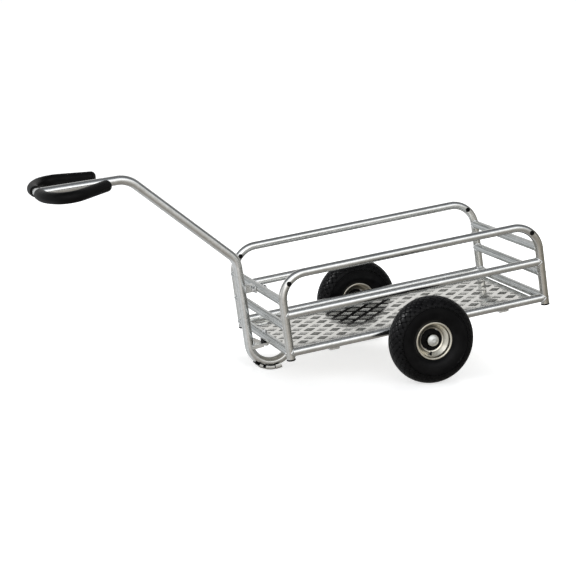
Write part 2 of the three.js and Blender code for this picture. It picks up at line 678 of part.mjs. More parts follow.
const lowerBolt = hexBolt(
  BOLT_M8.radius,
  lowerGrip + BOLT_M8.nut + BOLT_PAST_NUT,
  BOLT_M8.flats,
  BOLT_M8.head,
);
place(frame, "lower_bolt", lowerBolt, BRIGHT_STEEL, [-HALF_LENGTH, 0, RAIL_Z + FRAME_TUBE.radius + GAP]);
const lowerNut = hexNut(BOLT_M8.hole, BOLT_M8.flats, BOLT_M8.nut);
place(frame, "lower_nut", lowerNut, BRIGHT_STEEL, [-HALF_LENGTH, 0, shelfBottom - GAP - BOLT_M8.nut]);

// Wheels: each is built round the Y axis with its outer face towards +Y, then turned to its side.
// The rim, one half: its tyre side from the lip to the well's bottom, then its open side back to the lip.
const RIM_TYRE_SIDE = [
  [56.4, 27],
  [55.5, 25],
  [50.4, 23.8],
  [48.9, 9],
  [46, 6.8],
  [36, 3.4],
];
const RIM_OPEN_SIDE = [
  [32.6, 4.4],
  [40, 7.3],
  [46, 9.4],
  [47.4, 12],
  [49, 23],
  [50.4, 26.6],
  [52.6, 28.3],
  [55, 28.2],
];
const flip = (outline) => outline.map(([radius, y]) => [radius, -y]).reverse();
const rimOutline = [...RIM_TYRE_SIDE, ...flip(RIM_TYRE_SIDE), ...flip(RIM_OPEN_SIDE), ...RIM_OPEN_SIDE];

const TYRE_OUTSIDE = [
  [51.3, 23.3],
  [56.9, 24.4],
  [62, 31],
  [74, 36.5],
  [96, 38.5],
  [112, 34],
  [124, 24],
  [TYRE_RADIUS, 8],
];
const TYRE_INSIDE = [
  [51.3, 16],
  [58, 19],
  [74, 30],
  [96, 32],
  [116, 20],
  [121, 0],
];
const tyreOutline = [
  ...TYRE_OUTSIDE,
  ...flip(TYRE_OUTSIDE),
  ...flip(TYRE_INSIDE).reverse(),
  ...TYRE_INSIDE.slice(0, -1).reverse(),
];

const INNER_TUBE = { middle: 86, halfHeight: 28, halfWidth: 24, wall: 2.5, sides: 8 };
const tubeSection = (wall) =>
  polygon(1, INNER_TUBE.sides).map((corner) => [
    INNER_TUBE.middle + (INNER_TUBE.halfHeight - wall) * corner.y,
    (INNER_TUBE.halfWidth - wall) * corner.x,
  ]);

const HUB = { barrel: 17.5, web: 32, webHalfWidth: 4, bearingSeat: 14.3, core: 12 };
const BEARING = { outer: 14, inner: 10.6, width: 15.5, seatDepth: 16 };
const hubOutline = [
  [HUB.barrel, HUB_OUTER_END],
  [HUB.barrel, HUB.webHalfWidth],
  [HUB.web, HUB.webHalfWidth],
  [HUB.web, -HUB.webHalfWidth],
  [HUB.barrel, -HUB.webHalfWidth],
  [HUB.barrel, -HUB_INNER_END],
  [HUB.bearingSeat, -HUB_INNER_END],
  [HUB.bearingSeat, BEARING.seatDepth - HUB_INNER_END],
  [HUB.core, BEARING.seatDepth - HUB_INNER_END],
  [HUB.core, HUB_OUTER_END - BEARING.seatDepth],
  [HUB.bearingSeat, HUB_OUTER_END - BEARING.seatDepth],
  [HUB.bearingSeat, HUB_OUTER_END],
];

// The valve comes out of the rim's side wall and points at the hub. Its angle is from the top of the wheel.
const VALVE = { y: 12, inner: 33, rootRadius: 80, radius: 3.2, clearance: 0.5, bore: 1.2 };

function wheel(sideName, side, valveAngle) {
  const group = new THREE.Group();
  group.position.set(0, side * HUB_CENTRE, TYRE_RADIUS);
  group.rotation.z = side < 0 ? Math.PI : 0;
  cart.add(group);

  place(group, `tyre_${sideName}`, turned(tyreOutline, TYRE_SIDES), RUBBER);

  const alongValve = (radius) => [radius * sin(valveAngle), VALVE.y, radius * cos(valveAngle)];
  const valveHole = rod(alongValve(HUB.web), alongValve(TYRE_OUTSIDE[1][0]), VALVE.radius + VALVE.clearance);
  place(group, `rim_${sideName}`, cut(turned(rimOutline, RIM_SIDES), valveHole), ZINC);

  const valve = rod(alongValve(VALVE.inner), alongValve(VALVE.rootRadius), VALVE.radius, 0, 10);
  const bore = rod(alongValve(HUB.barrel), alongValve(VALVE.rootRadius), VALVE.bore, 0, 6);
  const fullTube = join(turned(tubeSection(0), HUB_SIDES), valve);
  const innerTube = cut(fullTube, turned(tubeSection(INNER_TUBE.wall), HUB_SIDES), bore);
  place(group, `inner_tube_${sideName}`, innerTube, RUBBER);

  place(group, `hub_${sideName}`, turned(hubOutline, HUB_SIDES), BLACK_PLASTIC);
  for (const [which, low] of [
    ["outer", HUB_OUTER_END - BEARING.width],
    ["inner", -HUB_INNER_END],
  ]) {
    const bearing = turned(
      [
        [BEARING.outer, low + BEARING.width],
        [BEARING.outer, low],
        [BEARING.inner, low],
        [BEARING.inner, low + BEARING.width],
      ],
      HUB_SIDES,
    );
    place(group, `bearing_${which}_${sideName}`, bearing, BRIGHT_STEEL);
  }
}
wheel("near", -1, 174);
wheel("far", 1, 40);

export default cart;
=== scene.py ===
"""Looks of the two-wheeled hand cart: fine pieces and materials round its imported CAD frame.

Lengths in the shape code are millimetres, in one of two local frames: the chassis's own axes (origin in
the middle of the axle, X along the rails, Z square to the floor plate) or a wheel's (origin in its middle,
Y along the axle and pointing outwards). make_piece turns them into metres and puts them in the row frame.
"""

import json
import math
import random

import bmesh
import bpy
from mathutils import Matrix, Vector

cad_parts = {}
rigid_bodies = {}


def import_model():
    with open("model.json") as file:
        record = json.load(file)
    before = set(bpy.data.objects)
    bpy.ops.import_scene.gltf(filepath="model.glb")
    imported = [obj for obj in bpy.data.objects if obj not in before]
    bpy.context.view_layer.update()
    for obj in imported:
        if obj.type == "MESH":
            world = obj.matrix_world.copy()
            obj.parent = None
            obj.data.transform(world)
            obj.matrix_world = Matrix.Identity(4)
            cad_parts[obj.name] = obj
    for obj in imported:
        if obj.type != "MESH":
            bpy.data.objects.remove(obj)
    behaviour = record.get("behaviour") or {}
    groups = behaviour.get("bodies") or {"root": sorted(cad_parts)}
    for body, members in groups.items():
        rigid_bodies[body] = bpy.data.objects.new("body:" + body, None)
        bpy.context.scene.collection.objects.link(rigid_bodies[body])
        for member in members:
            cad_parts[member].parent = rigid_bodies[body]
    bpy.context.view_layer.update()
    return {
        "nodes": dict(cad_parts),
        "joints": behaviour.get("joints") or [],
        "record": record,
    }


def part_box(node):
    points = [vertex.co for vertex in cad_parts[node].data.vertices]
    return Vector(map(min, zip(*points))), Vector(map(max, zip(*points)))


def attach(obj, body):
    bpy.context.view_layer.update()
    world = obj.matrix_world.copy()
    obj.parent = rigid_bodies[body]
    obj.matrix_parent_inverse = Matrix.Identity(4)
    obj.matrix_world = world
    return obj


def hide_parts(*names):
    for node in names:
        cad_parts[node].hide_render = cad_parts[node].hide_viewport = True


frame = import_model()

MM = 0.001
X, Y, Z = Vector((1, 0, 0)), Vector((0, 1, 0)), Vector((0, 0, 1))

# ---------------------------------------------------------------- the frame's own places
HUBS = {j["child"]: Vector(j["pos_m"]) for j in frame["joints"]}
AXLE = (HUBS["wheel_near"] + HUBS["wheel_far"]) / 2
FLOOR_NORMAL = Vector(frame["record"]["mounts"][0]["axis"])
PITCH = math.atan2(-FLOOR_NORMAL.x, FLOOR_NORMAL.z)
CHASSIS = Matrix.Translation(AXLE) @ Matrix.Rotation(-PITCH, 4, "Y")
WHEEL = {
    "near": Matrix.Translation(HUBS["wheel_near"]) @ Matrix.Rotation(math.pi, 4, "Z"),
    "far": Matrix.Translation(HUBS["wheel_far"]),
}
SIDES_OF_CART = (("near", -1), ("far", 1))
ENDS_OF_CART = (("front", -1), ("rear", 1))


def span(node):
    """A CAD node's lowest and highest corner along the chassis's own axes, in millimetres."""
    to_chassis = CHASSIS.inverted()
    points = [to_chassis @ v.co / MM for v in frame["nodes"][node].data.vertices]
    low = Vector([min(p[i] for p in points) for i in range(3)])
    return low, Vector([max(p[i] for p in points) for i in range(3)])


hoop_low, hoop_high = span("side_hoop_near")
mid_low, mid_high = span("mid_rail_near")
rail_low, rail_high = span("bottom_rail_near")
TUBE_R = (hoop_high.y - hoop_low.y) / 2
HALF_LENGTH = hoop_high.x - TUBE_R
HALF_WIDTH = -(hoop_high.y + hoop_low.y) / 2
TOP_Z = hoop_high.z - TUBE_R
LEG_END_Z = hoop_low.z
MID_Z = (mid_low.z + mid_high.z) / 2
RAIL_Z = (rail_low.z + rail_high.z) / 2
BAR_Z = {}
for level in ("bottom", "middle", "top"):
    bar_low, bar_high = span(f"front_bar_{level}")
    BAR_Z[level] = (bar_low.z + bar_high.z) / 2
DRAWBAR_R = span("drawbar")[1].y
plate_low, plate_high = span("floor_plate")
TYRE_R = (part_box("tyre_near")[1].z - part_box("tyre_near")[0].z) / 2 / MM

# The bend of the side hoops on the tube's axis, and the wall of every tube.
HOOP_BEND = 75.0
WALL = 2.0


# ---------------------------------------------------------------- shapes
class Shape:
    """Vertices, faces and face-corner UVs, gathered before they become one mesh."""

    def __init__(self):
        self.verts, self.faces, self.uvs = [], [], []

    def add(self, verts, faces, uvs=None):
        base = len(self.verts)
        self.verts += [Vector(v) for v in verts]
        self.faces += [[base + i for i in face] for face in faces]
        self.uvs += uvs or [None] * len(faces)
        return self

    def merge(self, other, matrix=Matrix.Identity(4)):
        return self.add([matrix @ v for v in other.verts], other.faces, other.uvs)

    def placed(self, matrix):
        """A copy of this shape, moved by a matrix."""
        return Shape().merge(self, matrix)

    def rings(self, rings, closed=False, caps=True):
        """Skins a list of rings with the same number of points each."""
        count = len(rings[0])
        verts = [p for ring in rings for p in ring]
        centres = [sum((Vector(p) for p in ring), Vector()) / count for ring in rings]
        along = [0.0]
        for a, b in zip(centres, centres[1:] + centres[:1]):
            along.append(along[-1] + (b - a).length)
        faces, uvs = [], []
        for i in range(len(rings) if closed else len(rings) - 1):
            following = (i + 1) % len(rings)
            for j in range(count):
                k = (j + 1) % count
                faces.append([i * count + j, i * count + k, following * count + k, following * count + j])
                u0, u1, v0, v1 = j / count, (j + 1) / count, along[i] * MM, along[i + 1] * MM
                uvs.append([(u0, v0), (u1, v0), (u1, v1), (u0, v1)])
        if caps and not closed:
            faces.append(list(range(count))[::-1])
            faces.append([(len(rings) - 1) * count + j for j in range(count)])
            uvs += [None, None]
        return self.add(verts, faces, uvs)


def circle(centre, a, b, radius, sides):
    turns = [2 * math.pi * j / sides for j in range(sides)]
    return [centre + a * (radius * math.cos(t)) + b * (radius * math.sin(t)) for t in turns]


def bender(start, heading, moves, step=2.5):
    """A tube bender's table as (u, v, direction) stations: straights in mm, bends as (degrees, radius)."""
    u, v = start
    heading = math.radians(heading)
    stations = [(u, v, heading)]
    for move in moves:
        if not isinstance(move, tuple):
            u, v = u + move * math.cos(heading), v + move * math.sin(heading)
            stations.append((u, v, heading))
            continue
        turn, radius = math.radians(move[0]), move[1]
        steps = max(2, round(abs(move[0]) / step))
        side = math.copysign(radius, turn)
        for _ in range(steps):
            following = heading + turn / steps
            u += side * (math.sin(following) - math.sin(heading))
            v -= side * (math.cos(following) - math.cos(heading))
            heading = following
            stations.append((u, v, heading))
    return stations


def in_space(stations, origin, u_axis, v_axis):
    """Planar stations as (point, tangent) pairs in space."""
    result = []
    for u, v, heading in stations:
        tangent = u_axis * math.cos(heading) + v_axis * math.sin(heading)
        result.append((origin + u_axis * u + v_axis * v, tangent))
    return result


def straight(start, end):
    start, end = Vector(start), Vector(end)
    along = (end - start).normalized()
    return [(start, along), (end, along)]


def tube(stations, radius, bore=0.0, sides=44, lip=0.5):
    """A tube or bar along planar stations, with rounded lips at its ends."""
    first, last = stations[0], stations[-1]
    chord = last[0] - first[0]
    offsets = (chord.cross(p - first[0]) for p, _ in stations)
    across = next((offset for offset in offsets if offset.length > 1), None)
    if across is None:
        across = first[1].cross(Z if abs(first[1].z) < 0.9 else X)
    across.normalize()
    path = [(p, t, radius) for p, t in stations]
    path[0] = (first[0] + first[1] * lip, first[1], radius)
    path[-1] = (last[0] - last[1] * lip, last[1], radius)
    path = [(first[0], first[1], radius - lip)] + path + [(last[0], last[1], radius - lip)]
    if bore:
        path += [(last[0], last[1], bore), (first[0], first[1], bore)]
        inner = [(p, t, bore) for p, t in stations[1:-1]]
        path[-1:-1] = inner[::-1]
    rings = [circle(p, across, t.cross(across), r, sides) for p, t, r in path]
    return Shape().rings(rings, closed=bool(bore))


def fillet(points, steps=4, closed=True):
    """Rounds the corners of a flat outline. A point is (u, v) or (u, v, radius)."""
    count = len(points)
    result = []
    for i, point in enumerate(points):
        here = Vector(point[:2])
        radius = point[2] if len(point) > 2 else 0
        if not radius or (not closed and i in (0, count - 1)):
            result.append(here)
            continue
        before = Vector(points[i - 1][:2]) - here
        after = Vector(points[(i + 1) % count][:2]) - here
        half = before.angle(after) / 2
        reach = min(radius / math.tan(half), 0.49 * before.length, 0.49 * after.length)
        a, b = here + before.normalized() * reach, here + after.normalized() * reach
        for k in range(steps + 1):
            t = k / steps
            result.append(a * (1 - t) ** 2 + here * (2 * t * (1 - t)) + b * t ** 2)
    return result


def mirrored(points):
    """The other half of a flat outline: its points mirrored in v, in reverse order."""
    return [(u, -v, *rounding) for u, v, *rounding in reversed(points)]


def inset(outline, distance):
    """A closed flat outline moved inwards by a distance, by its corners' mitres."""
    area = sum(a.x * b.y - b.x * a.y for a, b in zip(outline, outline[1:] + outline[:1]))
    sign = 1 if area > 0 else -1
    result = []
    for i, here in enumerate(outline):
        d0 = (here - outline[i - 1]).normalized()
        d1 = (outline[(i + 1) % len(outline)] - here).normalized()
        normal = Vector((-(d0.y + d1.y), d0.x + d1.x))
        if normal.length < 1e-6:
            result.append(here.copy())
            continue
        normal.normalize()
        mitre = max(0.5, normal.dot(Vector((-d1.y, d1.x))))
        result.append(here + normal * (sign * distance / mitre))
    return result


def extruded(outline, origin, u_axis, v_axis, along, chamfer=0.6):
    """A flat outline pushed along a vector, with chamfered ends."""
    depth = along.length
    direction = along.normalized()
    small = inset(outline, chamfer)
    rings = []
    for shape, at in ((small, 0), (outline, chamfer), (outline, depth - chamfer), (small, depth)):
        rings.append([origin + u_axis * p.x + v_axis * p.y + direction * at for p in shape])
    return Shape().rings(rings)


def plate(low, high, thin, corner=2.0, chamfer=0.5):
    """A rounded plate that fills the box from low to high and is thin along the named axis."""
    low, high = Vector(low), Vector(high)
    axes = {"x": (Y, Z, X), "y": (Z, X, Y), "z": (X, Y, Z)}
    u_axis, v_axis, w_axis = axes[thin]
    u, v = (high - low).dot(u_axis), (high - low).dot(v_axis)
    outline = fillet([(0, 0, corner), (u, 0, corner), (u, v, corner), (0, v, corner)])
    return extruded(outline, low, u_axis, v_axis, w_axis * (high - low).dot(w_axis), chamfer)


def turned(outline, sides=96, closed=False):
    """A body of revolution round Y. An open outline starts and ends on the axis."""
    points = [Vector(p[:2]) for p in outline]
    rings = [circle(Y * p.y, X, Z, max(p.x, 0.0), sides) for p in points]
    return Shape().rings(rings, closed=closed, caps=False)


def polar(levels, sides=48, closed=False):
    """A solid along Z from (height, radius or radius function of the angle) levels.

    It is capped at both ends, or closes on itself as a ring does.
    """
    rings = []
    for height, radius in levels:
        ring = []
        for j in range(sides):
            angle = 2 * math.pi * j / sides
            r = radius(angle) if callable(radius) else radius
            ring.append(Vector((r * math.cos(angle), r * math.sin(angle), height)))
        rings.append(ring)
    return Shape().rings(rings, closed=closed)


def hexagon(flats, cone=1e9):
    """Radius of a hexagon across flats, cut back by a cone where it is smaller."""
    third = math.pi / 3

    def radius(angle):
        return min(flats / 2 / math.cos((angle + third / 2) % third - third / 2), cone)

    return radius


def chamfered(flats, share):
    """Radius of a hexagon whose corners are cut back by a share of the full chamfer."""
    corner = flats / math.sqrt(3)
    return hexagon(flats, corner - (corner - flats * 0.46) * share)


def thread(radius, height, pitch=1.25, depth=0.55):
    def at(angle):
        phase = (height / pitch - angle / (2 * math.pi)) % 1
        return radius - depth * abs(2 * phase - 1)

    return at


def threaded(radius, low, high, pitch=1.25):
    """Levels of a threaded shank with a chamfered tip at its low end."""
    steps = max(2, int((high - low) / pitch * 5))
    levels = [(low - 0.8, radius - 1.1)]
    for i in range(steps + 1):
        height = low + (high - low) * i / steps
        levels.append((height, thread(radius, height, pitch)))
    return levels


def hex_bolt(radius, length, flats, head, threaded_length=12):
    """A bolt along Z: its head stands on z = 0 and its shank goes down."""
    levels = threaded(radius, -length + 0.8, -length + threaded_length)
    levels += [(-length + threaded_length + 0.5, radius), (0, radius), (0, flats * 0.47), (0.3, flats * 0.47)]
    levels += [(0.3, hexagon(flats)), (head * 0.72, hexagon(flats))]
    levels += [(head * (0.72 + 0.28 * share), chamfered(flats, share)) for share in (0.4, 0.8, 1)]
    return polar(levels)


def hex_nut(bore, flats, height):
    steps = (0, 0.4, 1)
    levels = [(height * 0.2 * t, chamfered(flats, 1 - t)) for t in steps]
    levels += [(height * (1 - 0.2 * t), chamfered(flats, 1 - t)) for t in reversed(steps)]
    levels += [(height, bore + 0.5), (height - 0.5, bore), (0.5, bore), (0, bore + 0.5)]
    return polar(levels, closed=True)


def washer(bore, radius, thickness, z=0.0):
    edge = 0.4
    levels = [(0, bore), (0, radius - edge), (edge, radius), (thickness - edge, radius)]
    levels += [(thickness, radius - edge), (thickness, bore)]
    return polar([(z + height, r) for height, r in levels], 40, closed=True)


def pointing(direction, at):
    """A matrix that lays a shape made along Z onto a direction, at a place."""
    return Matrix.Translation(Vector(at)) @ Vector(direction).to_track_quat("Z", "Y").to_matrix().to_4x4()


def bead(path, normals, size=2.3, closed=True, pitch=2.4, sides=8, seed=1):
    """A weld bead along a path: a flattened rope with the overlapping ripples of the weld pool."""
    dice = random.Random(seed)
    lengths = [0.0]
    for a, b in zip(path, path[1:]):
        lengths.append(lengths[-1] + (b - a).length)
    count = len(path)
    wobble = [dice.uniform(-1, 1) for _ in range(12)]
    rings = []
    for i, point in enumerate(path):
        after = path[(i + 1) % count] if closed or i + 1 < count else point
        before = path[i - 1] if closed or i else point
        tangent = (after - before).normalized()
        normal = (normals[i] - tangent * normals[i].dot(tangent)).normalized()
        side = tangent.cross(normal)
        slow = wobble[int(lengths[i] / 9) % 12]
        taper = 1.0 if closed else min(1.0, 0.45 + min(i, count - 1 - i) * 0.3)
        ring = []
        for j in range(sides):
            angle = 2 * math.pi * j / sides
            lag = 0.45 * math.sin(angle) ** 2
            ripple = 1 + 0.13 * math.sin(2 * math.pi * (lengths[i] / pitch + lag)) + 0.07 * slow
            ring.append(
                point
                + normal * (0.72 * size * taper * ripple * math.cos(angle))
                + side * (size * taper * ripple * math.sin(angle))
            )
        rings.append(ring)
    return Shape().rings(rings, closed=closed)


welds = Shape()


def weld_tube(centre, branch, main, branch_r, main_r, seed, samples=150):
    """Lays the bead where a branch tube meets a main tube whose axis it points at."""
    centre, branch, main = Vector(centre), Vector(branch).normalized(), Vector(main).normalized()
    side = branch.cross(main)
    path, normals = [], []
    for i in range(samples):
        phi = 2 * math.pi * i / samples
        x, z = branch_r * math.sin(phi), branch_r * math.cos(phi)
        y = math.sqrt(max(main_r ** 2 - x * x, 0.0))
        of_main = (side * x + branch * max(y, 1.5)) / main_r
        of_branch = side * math.sin(phi) + main * math.cos(phi)
        normal = (of_main.normalized() + of_branch * 1.05).normalized()
        path.append(centre + side * x + main * z + branch * y + normal * 0.35)
        normals.append(normal)
    welds.merge(bead(path, normals, seed=seed))


def weld_line(start, end, normal, size, seed):
    """Lays a straight bead."""
    start, end = Vector(start), Vector(end)
    steps = max(4, int((end - start).length / 0.5))
    path = [start.lerp(end, i / steps) for i in range(steps + 1)]
    welds.merge(bead(path, [Vector(normal)] * len(path), size=size, closed=False, seed=seed))


def make_piece(name, shape, finish, node=None, body="chassis", place=None, sharp=32.0):
    """Turns a shape into a named object that rides on a CAD body and stands for a CAD node."""
    work = bmesh.new()
    bake = CHASSIS if place is None else Matrix.Identity(4)
    verts = [work.verts.new(bake @ (v * MM)) for v in shape.verts]
    uv_layer = work.loops.layers.uv.new("along")
    for face, uvs in zip(shape.faces, shape.uvs):
        made = work.faces.new([verts[i] for i in face])
        made.smooth = True
        if uvs:
            for loop, uv in zip(made.loops, uvs):
                loop[uv_layer].uv = uv
    bmesh.ops.remove_doubles(work, verts=work.verts, dist=1e-6)
    bmesh.ops.dissolve_degenerate(work, edges=work.edges, dist=1e-7)
    bmesh.ops.recalc_face_normals(work, faces=work.faces)
    mesh = bpy.data.meshes.new(name)
    work.to_mesh(mesh)
    work.free()
    mesh.set_sharp_from_angle(angle=math.radians(sharp))
    mesh.materials.append(finish)
    piece = bpy.data.objects.new(name, mesh)
    bpy.context.scene.collection.objects.link(piece)
    piece.matrix_world = place or Matrix.Identity(4)
    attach(piece, body)
    if node:
        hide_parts(node)


# ---------------------------------------------------------------- materials
class Nodes:
    """A short way to write a material's node tree."""

    def __init__(self, tree):
        self.tree = tree
        tree.nodes.clear()

    def feed(self, socket, value):
        """Links a node's output to a socket, or gives the socket a value."""
        if isinstance(value, bpy.types.NodeSocket):
            self.tree.links.new(value, socket)
        else:
            socket.default_value = value

    def add(self, kind, **inputs):
        """A node with its inputs by name, or by number as i0, i1, and its settings as set_name."""
        node = self.tree.nodes.new(kind)
        for key, value in inputs.items():
            if key.startswith("set_"):
                setattr(node, key[4:], value)
                continue
            numbered = key[0] == "i" and key[1:].isdigit()
            self.feed(node.inputs[int(key[1:]) if numbered else key.replace("_", " ")], value)
        return node

    def noise(self, vector, scale, detail=3.0, roughness=0.55):
        inputs = {"Vector": vector, "Scale": scale, "Detail": detail, "Roughness": roughness}
        return self.add("ShaderNodeTexNoise", **inputs).outputs[0]

    def ramp(self, factor, *stops):
        node = self.add("ShaderNodeValToRGB", Fac=factor)
        elements = node.color_ramp.elements
        for i, (at, value) in enumerate(stops):
            element = elements[i] if i < 2 else elements.new(at)
            element.position = at
            element.color = (value, value, value, 1) if isinstance(value, (int, float)) else (*value, 1)
        return node.outputs[0]

    def mix(self, factor, a, b):
        node = self.add("ShaderNodeMix", set_data_type="RGBA", i0=factor)
        for value, socket in ((a, node.inputs[6]), (b, node.inputs[7])):
            self.feed(socket, (*value, 1) if isinstance(value, tuple) else value)
        return node.outputs[2]

    def math(self, operation, a, b=0.0):
        return self.add("ShaderNodeMath", set_operation=operation, i0=a, i1=b).outputs[0]

    def total(self, *parts, plus=0.0):
        """The sum of (value, weight) parts and a constant."""
        result = None
        for value, weight in parts:
            term = self.math("MULTIPLY", value, weight)
            result = term if result is None else self.math("ADD", result, term)
        return self.math("ADD", result, plus) if plus else result

    def dot(self, a, b):
        return self.add("ShaderNodeVectorMath", set_operation="DOT_PRODUCT", i0=a, i1=b).outputs["Value"]

    def scaled(self, vector, scale):
        return self.add("ShaderNodeVectorMath", set_operation="MULTIPLY", i0=vector, i1=scale).outputs[0]

    def bump(self, height, strength, distance, normal=None):
        inputs = {"Height": height, "Strength": strength, "Distance": distance}
        if normal is not None:
            inputs["Normal"] = normal
        return self.add("ShaderNodeBump", **inputs).outputs[0]


def material(name, build, tilt=0.0):
    """A material from its node recipe. The tilt turns the row frame's axes into the chassis's own."""
    made = bpy.data.materials.new(name)
    made.use_nodes = True
    nodes = Nodes(made.node_tree)
    coordinates = nodes.add("ShaderNodeTexCoord")
    place = coordinates.outputs["Object"]
    if tilt:
        turned_place = {"set_rotation_type": "Y_AXIS", "Vector": place, "Angle": tilt}
        place = nodes.add("ShaderNodeVectorRotate", **turned_place).outputs[0]
    settings = build(nodes, place, coordinates.outputs["UV"])
    shader = nodes.add("ShaderNodeBsdfPrincipled", **settings)
    nodes.add("ShaderNodeOutputMaterial", Surface=shader.outputs[0])
    return made


def metal(colour, rough, normal):
    return {"Base_Color": colour, "Metallic": 1.0, "Roughness": rough, "Normal": normal}


def deep_black(colour, rough, normal):
    return {"Base_Color": colour, "Roughness": rough, "Specular_IOR_Level": 0.10, "Normal": normal}


# Where the middle of the load bed comes along the chassis's own x axis, turned but not moved, in metres.
BED_MIDDLE = (CHASSIS.to_3x3().inverted() @ CHASSIS.translation).x
# The legs begin this far from the middle and carry their full painted shade from there on, in metres.
LEG_BEGINS, LEG_FULL = 0.372, 0.402


def galvanised(along, paint_leg_shade=False):
    """Hot-dip zinc: faint spangle, drawn lines along the tube, thin haze and a little waviness.

    A piece with shaded legs gets painted shade there: duller and browner, standing in for the darker
    reflections on the legs, most on the near and rear legs.
    """

    def build(n, place, uv):
        if along:
            lines = n.noise(n.scaled(uv, (70, 5, 1)), 1.0, 4.0)
        else:
            lines = n.noise(n.scaled(place, (9, 260, 260)), 1.0)
        haze = n.noise(place, 26.0, 4.0)
        spangle = n.add("ShaderNodeTexVoronoi", Vector=place, Scale=160.0, Randomness=1.0).outputs["Color"]
        flake = n.add("ShaderNodeSeparateColor", Color=spangle).outputs[0]
        tone = n.total((haze, 0.55), (flake, 0.25), (lines, 0.3))
        colour = n.ramp(tone, (0.30, (0.66, 0.665, 0.65)), (0.75, (0.84, 0.845, 0.84)))
        if paint_leg_shade:
            # Painted shade: the legs are mixed towards a dull brown, most on the near and rear legs, for the
            # dark surroundings they mirror.
            position = n.add("ShaderNodeSeparateXYZ", Vector=place)
            from_middle = n.math("SUBTRACT", position.outputs[0], BED_MIDDLE)
            leg = n.ramp(n.math("ABSOLUTE", from_middle), (LEG_BEGINS, 0.0), (LEG_FULL, 1.0))
            near = n.ramp(position.outputs[1], (0.0, 1.0), (0.2, 0.45))
            rear = n.ramp(from_middle, (0.0, 0.42), (0.3, 1.0))
            leg = n.math("MULTIPLY", leg, rear)
            leg_shade_colour = n.mix(tone, (0.42, 0.395, 0.345), (0.60, 0.575, 0.52))
            colour = n.mix(n.math("MULTIPLY", leg, near), colour, leg_shade_colour)
        rough = n.total((haze, 0.16), (lines, 0.12), plus=0.06)
        fine = n.bump(n.noise(place, 900.0, 2.0), 0.05, 0.0003)
        wavy = n.bump(n.noise(place, 16.0, 2.0), 0.22, 0.002, fine)
        return metal(colour, rough, n.bump(lines, 0.16, 0.0004, wavy))

    return build


def brushed_bar(n, place, uv):
    """The cross bars: the same zinc over a coarser drawn tube, so it is more satin and lined."""
    lines = n.noise(n.scaled(uv, (22, 1.6, 1)), 1.0, 3.0)
    haze = n.noise(place, 34.0, 4.0)
    tone = n.total((haze, 0.15), (lines, 0.85))
    colour = n.ramp(tone, (0.38, (0.34, 0.355, 0.35)), (0.62, (0.74, 0.75, 0.745)))
    rough = n.total((lines, 0.20), plus=0.16)
    fine = n.bump(n.noise(place, 700.0, 2.0), 0.12, 0.0004)
    return metal(colour, rough, n.bump(lines, 0.7, 0.0006, fine))


def weld_metal(n, place, uv):
    """Bright ripples of the bead under zinc, in brighter and darker patches."""
    patch = n.noise(place, 120.0, 3.0)
    colour = n.ramp(patch, (0.3, (0.62, 0.63, 0.63)), (0.62, (0.93, 0.94, 0.94)))
    rough = n.total((patch, 0.25), plus=0.10)
    return metal(colour, rough, n.bump(n.noise(place, 1400.0, 2.0), 0.25, 0.0004))


def tread_metal(n, place, uv):
    """Bright rolled aluminium: nearly a mirror between the bars, scuffed, with painted shade that greys one
    set of flanks.
    """
    mill = n.noise(n.scaled(place, (6, 420, 1)), 1.0, 4.0)
    scuff = n.noise(place, 60.0, 6.0, 0.7)
    tone = n.total((mill, 0.5), (scuff, 0.5))
    colour = n.ramp(tone, (0.35, (0.70, 0.70, 0.665)), (0.65, (0.83, 0.83, 0.80)))
    # Painted shade: flanks that face along one diagonal are greyed, standing in for the dark reflection of
    # that set of bars.
    lean = n.dot(n.add("ShaderNodeNewGeometry").outputs["Normal"], (math.sqrt(0.5), math.sqrt(0.5), 0))
    painted_flank_shade = n.ramp(n.math("ABSOLUTE", lean), (0.20, 0.0), (0.50, 1.0))
    colour = n.mix(painted_flank_shade, colour, (0.34, 0.335, 0.305))
    rough = n.total((scuff, 0.10), plus=0.03)
    wavy = n.bump(n.noise(place, 9.0, 2.0), 0.15, 0.004)
    return metal(colour, rough, n.bump(mill, 0.10, 0.0003, wavy))


def zinc_rim(n, place, uv):
    """Pressed steel with warm passivated zinc and the rings that spinning leaves."""
    parts = n.add("ShaderNodeSeparateXYZ", Vector=n.scaled(place, place))
    radius = n.math("SQRT", n.math("ADD", parts.outputs[0], parts.outputs[2]))
    rings = n.noise(n.add("ShaderNodeCombineXYZ", X=n.math("MULTIPLY", radius, 500.0)).outputs[0], 1.0, 3.0)
    haze = n.noise(place, 55.0, 4.0)
    tone = n.total((haze, 0.6), (rings, 0.4))
    colour = n.ramp(tone, (0.35, (0.70, 0.655, 0.54)), (0.66, (0.87, 0.84, 0.755)))
    return metal(colour, n.total((haze, 0.14), plus=0.24), n.bump(rings, 0.015, 0.0003))


def bright_steel(n, place, uv):
    """Zinc-plated hardware."""
    haze = n.noise(place, 140.0, 4.0)
    colour = n.ramp(haze, (0.35, (0.70, 0.71, 0.71)), (0.65, (0.90, 0.91, 0.92)))
    rough = n.total((haze, 0.22), plus=0.16)
    return metal(colour, rough, n.bump(n.noise(place, 1100.0, 2.0), 0.14, 0.0004))


def satin_zinc(n, place, uv):
    """Passivated pressings: an even grey with next to no mirror."""
    haze = n.noise(place, 90.0, 4.0)
    colour = n.ramp(haze, (0.35, (0.70, 0.71, 0.69)), (0.65, (0.80, 0.81, 0.79)))
    return metal(colour, 0.5, n.bump(n.noise(place, 1400.0, 2.0), 0.10, 0.0003))


